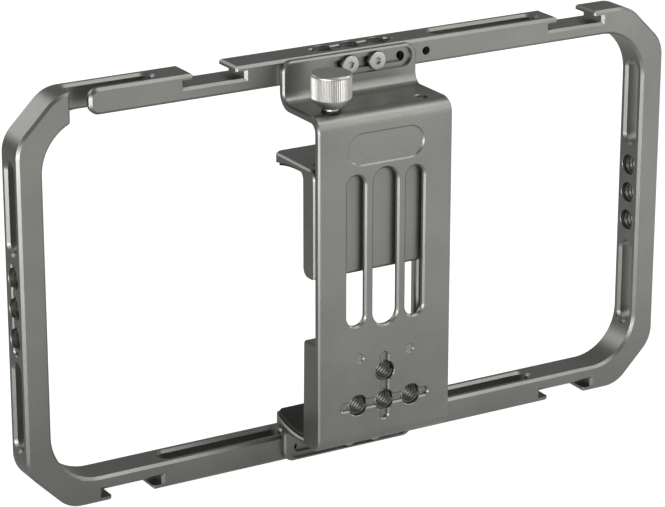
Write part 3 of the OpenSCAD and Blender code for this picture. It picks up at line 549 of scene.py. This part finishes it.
# %% [markdown]
# ## Where the threads go
#
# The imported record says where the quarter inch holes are: each row of three is stated by
# its outer two. The places could be typed in, but read from there they can't go wrong. Each
# thread starts just under the face and winds inwards. A quarter inch screw has 20 turns an
# inch, and flanks about 60 degrees apart. Its root is sunk a hair into the bore's wall, so
# that no gap shows between the two.

# %% Threads of the quarter inch holes
INCH = 25.4
TURNS_PER_INCH = 20
QUARTER_PITCH = INCH / TURNS_PER_INCH * MM
QUARTER_ROOT = 3.2 * MM
QUARTER_CREST = 2.52 * MM
FIRST_TURN = 0.8 * MM
LAST_TURN = 0.65 * MM
THINNEST_BAR = 7.6 * MM
RIDGE_WELD = 0.001 * MM
RIDGE_SHARP = 35


def threads(name, holes, body, root, crest, pitch, length, steps, material=thread_cut):
    """One piece with a thread at each hole, given as a start and a direction."""
    mesh = bpy.data.meshes.new(name + "_starts")
    mesh.from_pydata([start for start, _ in holes], [], [])
    stored = mesh.attributes.new("axis", "FLOAT_VECTOR", "POINT")
    for i, (_, direction) in enumerate(holes):
        stored.data[i].vector = direction
    carrier = linked(name + "_carrier", mesh)
    run_tree(carrier, thread_tree, root_radius=root, crest_radius=crest, pitch=pitch,
             length=length, steps_per_turn=steps, material=material)
    piece = plain(carrier, name)
    work = bmesh.new()
    work.from_mesh(piece.data)
    bmesh.ops.remove_doubles(work, verts=work.verts, dist=RIDGE_WELD)
    shade(written(work, piece.data), RIDGE_SHARP)
    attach(piece, body)
    print(name, len(piece.data.polygons), "faces,", round(length / pitch, 1), "turns")


def row_of_three(mount, along):
    """The middles of three holes in a row, and the way in."""
    middle_hole = Vector(mounts[mount]["pos_m"])
    dims = mounts[mount]["dims"]
    step = dims.get("spacing_x_mm", dims.get("spacing_y_mm")) / 2 * MM
    inward = -Vector(mounts[mount]["axis"])
    return [(middle_hole + along * step * i + inward * FIRST_TURN, inward) for i in (-1, 0, 1)]


RIGHT = Vector((1, 0, 0))
UP = Vector((0, 0, 1))
frame_holes = (row_of_three("top_thread_pair", RIGHT) + row_of_three("bottom_thread_pair", RIGHT)
               + row_of_three("left_thread_pair", UP) + row_of_three("right_thread_pair", UP))
cross_holes = row_of_three("cross_thread_pair", RIGHT)
cross_rise = mounts["cross_upright_pair"]["dims"]["spacing_y_mm"] * MM
cross_holes.append((cross_holes[1][0] + UP * cross_rise, cross_holes[1][1]))
threads("quarter_inch_threads_in_frame", frame_holes, "frame", QUARTER_ROOT, QUARTER_CREST,
        QUARTER_PITCH, THINNEST_BAR - FIRST_TURN - LAST_TURN, steps=32)
threads("quarter_inch_threads_in_bracket", cross_holes, "bracket", QUARTER_ROOT, QUARTER_CREST,
        QUARTER_PITCH, BLOCK_DEPTH * MM - FIRST_TURN - LAST_TURN, steps=40)

# %% [markdown]
# ## Threads of the small holes
#
# A row of six small holes runs along the front of each long bar, a quarter inch row's
# spacing apart. The clamp screws fill the middle two of each row, so the other four get a
# thread. They are M3, with a pitch of half a millimetre, and each turn is only a thin line.
# A darker bore would nearly do, but the tree is there already, and fewer steps keep it light.

# %% Threads of the small holes
SMALL_PITCH = 0.5 * MM
SMALL_ROOT = 1.26 * MM
SMALL_CREST = 1.1 * MM
SMALL_DEPTH = 3.6 * MM
SMALL_STEP = 9.0 * MM
ROW_MIDDLE = 2.5
FREE_HOLES = (0, 1, 4, 5)
front_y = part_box("cage_frame")[0].y
screw_nodes = [node for node in frame["nodes"] if node.endswith("_screw") and node != "lead_screw"]
screw_boxes = {node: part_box(node) for node in screw_nodes}
rows_z = sorted({round((low.z + high.z) / 2, 5) for low, high in screw_boxes.values()})
small_holes = [(Vector(((i - ROW_MIDDLE) * SMALL_STEP, front_y + SMALL_PITCH, z)), Vector((0, 1, 0)))
               for z in rows_z for i in FREE_HOLES]
threads("small_threads_in_frame", small_holes, "frame", SMALL_ROOT, SMALL_CREST, SMALL_PITCH,
        SMALL_DEPTH, steps=14)

# %% [markdown]
# ## Turned bodies
#
# The screw heads, the lead screw's core and the knob are lathe work: an outline turned
# about an axis. The Screw modifier turns an outline too, but leaves doubled points on the
# axis. So a function takes the outline as pairs of radius and height and rings it with
# points. An outline that starts and ends on the axis gives a closed body.

# %% Lathe


def lathe(name, outline, columns):
    """A mesh turned about the Z axis from an outline in metres."""
    work = bmesh.new()
    rings = []
    for radius, height in outline:
        if radius == 0:
            rings.append([work.verts.new((0, 0, height))])
            continue
        turns_round = [2 * math.pi * i / columns for i in range(columns)]
        rings.append([work.verts.new((radius * math.cos(a), radius * math.sin(a), height))
                      for a in turns_round])
    for low, high in zip(rings, rings[1:]):
        for i in range(columns):
            corners = [low[i % len(low)], low[(i + 1) % len(low)],
                       high[(i + 1) % len(high)], high[i % len(high)]]
            work.faces.new(list(dict.fromkeys(corners)))
    return written(work, bpy.data.meshes.new(name))


def rounded(radius, height, rounding, steps=4):
    """Points of a convex corner made round, from the side up to the top."""
    quarter = [math.radians(90 * i / steps) for i in range(steps + 1)]
    return [(radius - rounding + rounding * math.cos(a), height - rounding + rounding * math.sin(a))
            for a in quarter]


print("points of a rounded corner:", [round(radius, 2) for radius, _ in rounded(1.0, 1.0, 0.5)])

# %% [markdown]
# ## The lead screw
#
# It is a steel rod with an M4 thread from the block up to the clip under the shelf. It could
# be one wound mesh, but a ridge round a plain core is closed in itself and far simpler. So
# the core is lathe work with the clip's groove in it, and the tree that cut the holes winds
# the ridge round it.

# %% Lead screw
SCREW_PITCH = 0.7 * MM
THREAD_DEPTH = 0.43 * MM
RIDGE_SUNK = 0.02 * MM
RUN_OUT = 0.6 * MM
RUN_OUT_SLOPE = 0.3 * MM
BARE_END = 0.4 * MM
GROOVE_R = 1.5 * MM
GROOVE_BELOW = 0.02 * MM
GROOVE_ABOVE = 0.62 * MM
low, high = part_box("lead_screw")
screw_axis = Vector(((low.x + high.x) / 2, (low.y + high.y) / 2, 0))
screw_r = (high.x - low.x) / 2
core_r = screw_r - THREAD_DEPTH
clip_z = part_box("retaining_clip")[0].z
thread_top = clip_z - RUN_OUT
thread_low = low.z + BARE_END
core = lathe("lead_screw_core",
             [(0, low.z), (core_r, low.z), (core_r, thread_top), (screw_r, thread_top + RUN_OUT_SLOPE),
              (screw_r, clip_z - GROOVE_BELOW), (GROOVE_R, clip_z - GROOVE_BELOW),
              (GROOVE_R, clip_z + GROOVE_ABOVE), (screw_r, clip_z + GROOVE_ABOVE),
              (screw_r, high.z), (0, high.z)], columns=48)
core.transform(Matrix.Translation(screw_axis))
shade(core)
core.materials.append(steel)
piece = linked("lead_screw_core", core)
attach(piece, "screw")
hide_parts("lead_screw")
threads("lead_screw_thread", [(screw_axis + UP * thread_low, UP)], "screw", core_r - RIDGE_SUNK,
        screw_r, SCREW_PITCH, thread_top - thread_low, steps=20, material=steel)

# %% [markdown]
# ## The knurl
#
# The knob's drum has straight knurling, so that a thumb can hold it. A wheel rolls the teeth
# into the brass, all alike and parallel to the axis. A bump would do from afar, but the
# teeth show against the light at the drum's edge. So one small tooth is repeated 64 times
# round the axis by a tree: a trapezium is filled, raised to the knurl's height, and turned
# by each copy's own index. The teeth nearly touch at their roots, as rolled ones do.

# %% Knurl tree
TOOTH_BASE_SHARE = 0.98
TOOTH_TIP_SHARE = 0.3
tree, given, out = node_tree("straight_knurl", ("Root radius", "Tip radius", "Height",
                                                "Base height"), ("Teeth",))
round_length = add(tree, "ShaderNodeMath", {0: given["Root radius"], 1: 2 * math.pi},
                   operation="MULTIPLY").outputs[0]
spacing = add(tree, "ShaderNodeMath", {0: round_length, 1: given["Teeth"]},
              operation="DIVIDE").outputs[0]
base_width = add(tree, "ShaderNodeMath", {0: spacing, 1: TOOTH_BASE_SHARE},
                 operation="MULTIPLY").outputs[0]
tip_width = add(tree, "ShaderNodeMath", {0: spacing, 1: TOOTH_TIP_SHARE},
                operation="MULTIPLY").outputs[0]
depth = add(tree, "ShaderNodeMath", {0: given["Tip radius"], 1: given["Root radius"]},
            operation="SUBTRACT").outputs[0]
tooth = add(tree, "GeometryNodeCurvePrimitiveQuadrilateral",
            {"Bottom Width": base_width, "Top Width": tip_width, "Offset": 0.0,
             "Height": depth}, mode="TRAPEZOID")
face = add(tree, "GeometryNodeFillCurve", {"Curve": tooth.outputs["Curve"]})
face.mode = "NGONS"
raised = add(tree, "GeometryNodeExtrudeMesh",
             {"Mesh": face.outputs["Mesh"], "Offset Scale": given["Height"]})
raised.mode = "FACES"
bar = add(tree, "GeometryNodeJoinGeometry")
tree.links.new(raised.outputs["Mesh"], bar.inputs["Geometry"])
base = add(tree, "GeometryNodeFlipFaces", {"Mesh": face.outputs["Mesh"]})
tree.links.new(base.outputs["Mesh"], bar.inputs["Geometry"])
both_radii = add(tree, "ShaderNodeMath", {0: given["Root radius"], 1: given["Tip radius"]},
                 operation="ADD").outputs[0]
reach = add(tree, "ShaderNodeMath", {0: both_radii, 1: 0.5}, operation="MULTIPLY").outputs[0]
spot = add(tree, "ShaderNodeCombineXYZ", {"X": 0.0, "Y": reach, "Z": given["Base height"]})
placed = add(tree, "GeometryNodeTransform",
             {"Geometry": bar.outputs["Geometry"], "Translation": spot.outputs["Vector"]})
points = add(tree, "GeometryNodePoints", {"Count": given["Teeth"]})
index = add(tree, "GeometryNodeInputIndex")
whole_turns = add(tree, "ShaderNodeMath", {0: index.outputs["Index"], 1: 2 * math.pi},
                  operation="MULTIPLY").outputs[0]
angle = add(tree, "ShaderNodeMath", {0: whole_turns, 1: given["Teeth"]}, operation="DIVIDE").outputs[0]
spin = add(tree, "ShaderNodeCombineXYZ", {"X": 0.0, "Y": 0.0, "Z": angle})
teeth = add(tree, "GeometryNodeInstanceOnPoints",
            {"Points": points.outputs["Points"], "Instance": placed.outputs["Geometry"],
             "Rotation": spin.outputs["Vector"]})
both = add(tree, "GeometryNodeJoinGeometry")
tree.links.new(teeth.outputs["Instances"], both.inputs["Geometry"])
tree.links.new(given["Geometry"], both.inputs["Geometry"])
end_tree(tree, both.outputs["Geometry"], given["Material"], out)
knurl_tree = tree
print("the knurl tree has", len(tree.nodes), "nodes")

# %% [markdown]
# ## The knob
#
# The knob is a short drum with the knurl, a plain rounded rim above it and a cone below. It
# could be cut from a cylinder with loops and bevels. As lathe work it is one list of radii
# and heights, in which each size can be changed. The height and the width come from the
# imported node's box, and what the box can't tell is named here: the rim, the cone with its
# slightly full outline, and the neck that stands on the thin washer.

# %% Knob
TEETH = 64
KNURL_DEPTH = 0.22 * MM
TOOTH_SUNK = 0.01 * MM
TOOTH_SHORT = 0.03 * MM
RIM_H = 1.0 * MM
RIM_EDGE = 0.12 * MM
RIM_ROUND = 0.7 * MM
FLAT_TOP_IN = 1.1 * MM
CONE_H = 3.7 * MM
CONE_SMALL_R = 2.45 * MM
CONE_FULL_SHARE = 0.45
CONE_STEPS = 12
NECK_R = 2.3 * MM
NECK_H = 0.55 * MM
low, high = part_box("clamp_knob")
knob_r = (high.x - low.x) / 2
drum_r = knob_r - KNURL_DEPTH
knob_h = high.z - low.z
cone = []
for i in range(CONE_STEPS + 1):
    share = i / CONE_STEPS
    angle = math.radians(90 * share)
    out_share = (1 - CONE_FULL_SHARE) * share + CONE_FULL_SHARE * math.sin(angle)
    up_share = (1 - CONE_FULL_SHARE) * share + CONE_FULL_SHARE * (1 - math.cos(angle))
    cone.append((CONE_SMALL_R + (drum_r - CONE_SMALL_R) * out_share,
                 NECK_H + (CONE_H - NECK_H) * up_share))
outline = [(0, 0), (NECK_R, 0), (NECK_R, NECK_H)] + cone
outline += [(drum_r, knob_h - RIM_H), (knob_r - RIM_EDGE, knob_h - RIM_H)]
outline += [(knob_r, knob_h - RIM_H + RIM_EDGE)] + rounded(knob_r, knob_h, RIM_ROUND)
outline += [(knob_r - FLAT_TOP_IN, knob_h), (0, knob_h)]
drum = lathe("knob_drum", outline, columns=2 * TEETH)
carrier = linked("knob_carrier", drum)
run_tree(carrier, knurl_tree, root_radius=drum_r - TOOTH_SUNK, tip_radius=knob_r - TOOTH_SHORT,
         height=knob_h - RIM_H - CONE_H, base_height=CONE_H, teeth=TEETH, material=nickel)
knob = plain(carrier, "knurled_knob")
knob.data.transform(Matrix.Translation((screw_axis.x, screw_axis.y, low.z)))
shade(knob.data)
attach(knob, "screw")
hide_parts("clamp_knob")
print(knob.name, len(knob.data.polygons), "faces")

# %% [markdown]
# ## The clamp screws
#
# Four socket head screws hold the bracket. Each head is turned and rounded, and its hexagon
# is pressed in with a punch. A boolean could sink the hexagon, but would leave long thin
# faces that shade badly. Here the rim round the socket has 48 points, and so has the
# hexagon, eight to a side, so that one ring of faces joins the two with no gaps.

# %% Screw mesh
HEAD_R = 2.7 * MM
HEAD_H = 1.4 * MM
HEAD_EDGE = 0.1 * MM
HEAD_ROUND = 0.25 * MM
SHANK_R = 1.18 * MM
SHANK_L = 6.0 * MM
SOCKET_RIM_R = 1.3 * MM
SOCKET_ACROSS = 2.0 * MM
SOCKET_EDGE = 0.1 * MM
SOCKET_EDGE_H = 0.06 * MM
SOCKET_H = 0.95 * MM
PUNCH_TIP_H = 0.25 * MM
RING = 48


def hexagon(across, i):
    """Point i of 48 on a hexagon, given its width across the flats."""
    angle = 2 * math.pi * i / RING
    to_flat = (angle + math.pi / 6) % (math.pi / 3) - math.pi / 6
    radius = across / 2 / math.cos(to_flat)
    return radius * math.cos(angle), radius * math.sin(angle)


def socket_screw():
    """A screw along Z whose head ends at height 0, with its socket facing up."""
    under = -HEAD_H
    outline = [(0, under - SHANK_L), (SHANK_R, under - SHANK_L), (SHANK_R, under),
               (HEAD_R - HEAD_EDGE, under), (HEAD_R, under + HEAD_EDGE)]
    outline += rounded(HEAD_R, 0, HEAD_ROUND)
    outline += [(SOCKET_RIM_R, 0)]
    work = bmesh.new()
    work.from_mesh(lathe("screw_blank", outline, RING))
    loop = [e for e in work.edges if e.is_boundary]
    rim = sorted({v for e in loop for v in e.verts},
                 key=lambda v: math.atan2(v.co.y, v.co.x) % (2 * math.pi))
    levels = [rim]
    steps_down = ((SOCKET_ACROSS + SOCKET_EDGE, 0), (SOCKET_ACROSS, -SOCKET_EDGE_H),
                  (SOCKET_ACROSS, -SOCKET_H))
    for across, height in steps_down:
        levels.append([work.verts.new((*hexagon(across, i), height)) for i in range(RING)])
    for outer, inner in zip(levels, levels[1:]):
        for i in range(RING):
            j = (i + 1) % RING
            work.faces.new((outer[i], outer[j], inner[j], inner[i]))
    bottom = work.verts.new((0, 0, -SOCKET_H - PUNCH_TIP_H))
    for i in range(RING):
        work.faces.new((levels[-1][i], levels[-1][(i + 1) % RING], bottom))
    mesh = written(work, bpy.data.meshes.new("socket_screw"))
    shade(mesh)
    return mesh


pattern = linked("screw_pattern", socket_screw())
print("one screw has", len(pattern.data.polygons), "faces")

# %% [markdown]
# ## Four copies of the screw
#
# One screw is made and four are wanted. Four linked objects would do, but each of them would
# have to be joined afterwards. The tree copies the one to a point for each packed screw,
# looks out of the hole along the stored direction, and turns each on its own axis by its
# index, because no four screws stop with their sockets lined up.

# %% Screw tree
OWN_TURN = 0.4
tree, given, out = node_tree("screws", ())
source = add(tree, "GeometryNodeObjectInfo", {"Object": pattern})
axis = add(tree, "GeometryNodeInputNamedAttribute", {"Name": "axis"}, data_type="FLOAT_VECTOR")
turned = add(tree, "FunctionNodeAlignRotationToVector", {"Vector": axis.outputs["Attribute"]}, axis="Z")
spun = add(tree, "FunctionNodeRotateRotation", {"Rotation": turned.outputs["Rotation"]},
           rotation_space="LOCAL")
index = add(tree, "GeometryNodeInputIndex")
turn_angle = add(tree, "ShaderNodeMath", {0: index.outputs["Index"], 1: OWN_TURN},
                 operation="MULTIPLY").outputs[0]
own_turn = add(tree, "ShaderNodeCombineXYZ", {"Z": turn_angle})
as_turn = add(tree, "FunctionNodeEulerToRotation", {"Euler": own_turn.outputs["Vector"]})
tree.links.new(as_turn.outputs["Rotation"], spun.inputs["Rotate By"])
copies = add(tree, "GeometryNodeInstanceOnPoints",
             {"Points": given["Geometry"], "Instance": source.outputs["Geometry"],
              "Rotation": spun.outputs["Rotation"]})
end_tree(tree, copies.outputs["Instances"], given["Material"], out)
screw_tree = tree
print("the screw tree has", len(tree.nodes), "nodes")

# %% [markdown]
# ## The screws in their places
#
# Each packed screw's box tells where its head ends: at the middle of the box, on its front
# side. The points could be modelled by hand, but read from the boxes they follow the pack.

# %% Clamp screws
spots = []
for name, (low, high) in sorted(screw_boxes.items()):
    spots.append(((low.x + high.x) / 2, low.y, (low.z + high.z) / 2))
mesh = bpy.data.meshes.new("screw_spots")
mesh.from_pydata(spots, [], [])
stored = mesh.attributes.new("axis", "FLOAT_VECTOR", "POINT")
for i in range(len(spots)):
    stored.data[i].vector = (0, -1, 0)
carrier = linked("screw_carrier", mesh)
run_tree(carrier, screw_tree, material=screw_nickel)
screws = plain(carrier, "clamp_screws")
bpy.data.objects.remove(pattern)
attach(screws, "frame")
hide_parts(*screw_boxes)
print(screws.name, len(screws.data.polygons), "faces at", len(spots), "places")

# %% [markdown]
# ## The silicone pads
#
# Four thin pads keep the metal off the phone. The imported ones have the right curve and
# thickness but sharp edges, and moulded silicone has none. A Subdivision Surface would round
# them, but would thin them too. So each copy is merged, its flats are made whole, and a
# Bevel rounds every edge by a quarter of a millimetre.

# %% Pads
PAD_ROUND = 0.25 * MM
PAD_ROUND_STEPS = 3
PAD_SHARP = 40


def pad(node, body):
    """A soft-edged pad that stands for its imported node."""
    mesh = merged(node)
    mesh.materials.clear()
    mesh.materials.append(silicone)
    carrier = linked(node + "_carrier", mesh)
    soft = carrier.modifiers.new("moulded_edge", "BEVEL")
    soft.width = PAD_ROUND
    soft.segments = PAD_ROUND_STEPS
    soft.angle_limit = math.radians(PAD_SHARP)
    soft.limit_method = "ANGLE"
    piece = plain(carrier, "silicone_" + node)
    shade(piece.data, PAD_SHARP)
    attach(piece, body)
    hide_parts(node)
    print(piece.name, len(piece.data.polygons), "faces")


pad("hook_edge_pad", "bracket")
pad("block_face_pad", "bracket")
pad("jaw_edge_pad", "jaw")
pad("jaw_face_pad", "jaw")

# %% [markdown]
# ## The camera
#
# It looks at the cage from the left and from above, through a long lens, so that the bars
# stay nearly parallel. It could be moved by eye until the picture fits, but two angles and
# a distance can be fitted: they come from the frame's corners in the photograph. The shift
# only moves the picture inside its frame.

# %% Camera
AZIMUTH = math.radians(-30.33)
ELEVATION = math.radians(19.6)
DISTANCE = 0.863
TARGET = Vector((-0.0126, 0.0056, 0.05594))
SENSOR_MM = 36.0
LENS_MM = 159.75
SHIFT = (0.01585, 0.03313)
ahead = Vector((-math.sin(AZIMUTH) * math.cos(ELEVATION),
                math.cos(AZIMUTH) * math.cos(ELEVATION), -math.sin(ELEVATION)))
camera_data = bpy.data.cameras.new("camera")
camera_data.sensor_width = SENSOR_MM
camera_data.lens = LENS_MM
camera_data.shift_x, camera_data.shift_y = SHIFT
camera = linked("camera", camera_data)
camera.location = TARGET - ahead * DISTANCE
camera.rotation_mode = "QUATERNION"
camera.rotation_quaternion = ahead.to_track_quat("-Z", "Y")
bpy.context.scene.camera = camera
print("the camera stands at", [round(c, 3) for c in camera.location])

# %% [markdown]
# ## The floor
#
# The photograph has a plain white ground. A white sheet under strong lamps could give it,
# but would light the cage from all sides. So the floor is pale and takes the lamps' light
# and the cage's shadow, and glows where the camera looks at it, through the light path.
# Metal sees that glow too, brightest before the cage on the right, where its front looks,
# and dimmer behind, which keeps the sides and the tops of the bars dark. Seen from below,
# the floor lets the view through.

# %% Floor
FLOOR_HALF = 4.0
FLOOR_GREY = "#b4b4b4"
FLOOR_GLOW = 0.93
GLOSS_BEFORE = 0.69
GLOSS_BEHIND = 0.1
FADE_FROM, FADE_TO = -0.27, 0.15
FADE_ALONG = (-0.6, 1.0, 0.0)


def camera_or_metal(tree, metal):
    """1 for what the camera sees, and the value given for rays from metal and glass."""
    path = add(tree, "ShaderNodeLightPath")
    bounced = add(tree, "ShaderNodeMath", {0: path.outputs["Is Glossy Ray"],
                                           1: path.outputs["Is Transmission Ray"]},
                  operation="MAXIMUM").outputs[0]
    dimmed = add(tree, "ShaderNodeMath", {0: bounced, 1: metal}, operation="MULTIPLY").outputs[0]
    return add(tree, "ShaderNodeMath", {0: path.outputs["Is Camera Ray"], 1: dimmed},
               operation="MAXIMUM").outputs[0]


def floor_material():
    """Matt, with a glow for the camera and for metal, and clear from below."""
    material = bpy.data.materials.new("pale_floor")
    material.use_nodes = True
    tree = material.node_tree
    tree.nodes.clear()
    place = add(tree, "ShaderNodeTexCoord").outputs["Object"]
    back = add(tree, "ShaderNodeVectorMath", {0: place, 1: FADE_ALONG}, operation="DOT_PRODUCT")
    fade = add(tree, "ShaderNodeMapRange", {"Value": back.outputs["Value"], "From Min": FADE_FROM,
                                            "From Max": FADE_TO, "To Min": GLOSS_BEFORE,
                                            "To Max": GLOSS_BEHIND})
    level = add(tree, "ShaderNodeMath", {0: camera_or_metal(tree, fade.outputs["Result"]),
                                         1: FLOOR_GLOW}, operation="MULTIPLY").outputs[0]
    matt = add(tree, "ShaderNodeBsdfDiffuse", {"Color": linear(FLOOR_GREY)})
    glow = add(tree, "ShaderNodeEmission", {"Color": (1, 1, 1, 1), "Strength": level})
    shown = add(tree, "ShaderNodeAddShader", {0: matt.outputs["BSDF"], 1: glow.outputs["Emission"]})
    clear = add(tree, "ShaderNodeBsdfTransparent")
    side = add(tree, "ShaderNodeNewGeometry")
    both_sides = add(tree, "ShaderNodeMixShader",
                     {"Fac": side.outputs["Backfacing"], 1: shown.outputs["Shader"],
                      2: clear.outputs["BSDF"]})
    add(tree, "ShaderNodeOutputMaterial", {"Surface": both_sides.outputs["Shader"]})
    return material


corners = [(x * FLOOR_HALF, y * FLOOR_HALF, 0) for x, y in ((-1, -1), (1, -1), (1, 1), (-1, 1))]
floor_mesh = bpy.data.meshes.new("floor")
floor_mesh.from_pydata(corners, [], [(0, 1, 2, 3)])
floor_mesh.materials.append(floor_material())
floor = linked("floor", floor_mesh)
print("the floor is", 2 * FLOOR_HALF, "m across")

# %% [markdown]
# ## The room
#
# A picture of a studio could surround the cage, but its metal would mirror all of it. So
# the room is one plain white: whole to the camera, and dim to metal and to matt faces.

# %% Room
ROOM_LEVEL = 0.15
ROOM_GLOSS = 0.25
world = bpy.data.worlds.new("room")
bpy.context.scene.world = world
world.use_nodes = True
tree = world.node_tree
tree.nodes.clear()
path = add(tree, "ShaderNodeLightPath")
for_matt = add(tree, "ShaderNodeMath", {0: path.outputs["Is Diffuse Ray"], 1: ROOM_LEVEL},
               operation="MULTIPLY").outputs[0]
level = add(tree, "ShaderNodeMath", {0: camera_or_metal(tree, ROOM_GLOSS), 1: for_matt},
            operation="MAXIMUM").outputs[0]
room = add(tree, "ShaderNodeBackground", {"Color": (1, 1, 1, 1), "Strength": level})
add(tree, "ShaderNodeOutputWorld", {"Surface": room.outputs["Background"]})
print("the room gives", ROOM_GLOSS, "to metal and", ROOM_LEVEL, "to matt faces")

# %% [markdown]
# ## Lamps
#
# Metal shows its lamps as a mirror would, only blurred. One large lamp would light the whole
# cage, but every edge alike. So each lamp here is put where one kind of face sees it:
# - the two left ones light the chamfers that face front and left;
# - the two top ones and the upper front one light the chamfers that face front and up, and
#   the bends of the bracket, each a part of their curve;
# - the rear one lights the cut corner and the inside of the lower right one;
# - the front and right ones lift the right half of the flat faces.
# Their powers were fitted face by face, by lighting the cage with one at a time and
# comparing its tones with the photograph's.

# %% Lamps
CAGE_MIDDLE = Vector((0, 0, 0.06))
# Direction from the cage, distance and size in metres, and watts.
lamps = {
    "left_lamp": ((-0.85, -0.5, 0.05), 0.9, (0.8, 0.5), 1.8),
    "low_left_lamp": ((-0.85, -0.5, -0.05), 0.5, (0.5, 0.1), 1.5),
    "top_lamp": ((0.43, -0.43, 0.79), 1.1, (0.9, 0.45), 1.7),
    "top_left_lamp": ((0.25, -0.36, 0.89), 1.1, (0.6, 0.4), 1.3),
    "upper_front_lamp": ((0.476, -0.74, 0.47), 1.1, (0.8, 0.35), 1.4),
    "rear_lamp": ((-0.44, 0.79, 0.44), 0.9, (0.55, 0.35), 1.0),
    "front_lamp": ((0.55, -0.8, 0.12), 1.1, (0.5, 0.3), 0.5),
    "right_lamp": ((0.9, -0.3, 0.3), 1.0, (0.4, 0.3), 2.5),
}
for name, (direction, distance, size, power) in lamps.items():
    lamp_data = bpy.data.lights.new(name, "AREA")
    lamp_data.shape = "RECTANGLE"
    lamp_data.size, lamp_data.size_y = size
    lamp_data.energy = power
    lamp = linked(name, lamp_data)
    away = Vector(direction).normalized()
    lamp.location = CAGE_MIDDLE + away * distance
    lamp.rotation_mode = "QUATERNION"
    lamp.rotation_quaternion = (-away).to_track_quat("-Z", "Y")
print(len(lamps), "lamps of", round(sum(power for _, _, _, power in lamps.values()), 1), "W in all")

# %% [markdown]
# ## The picture's settings
#
# Standard is the view transform that shows a colour as it is written.

# %% Settings
bpy.context.scene.view_settings.view_transform = "Standard"
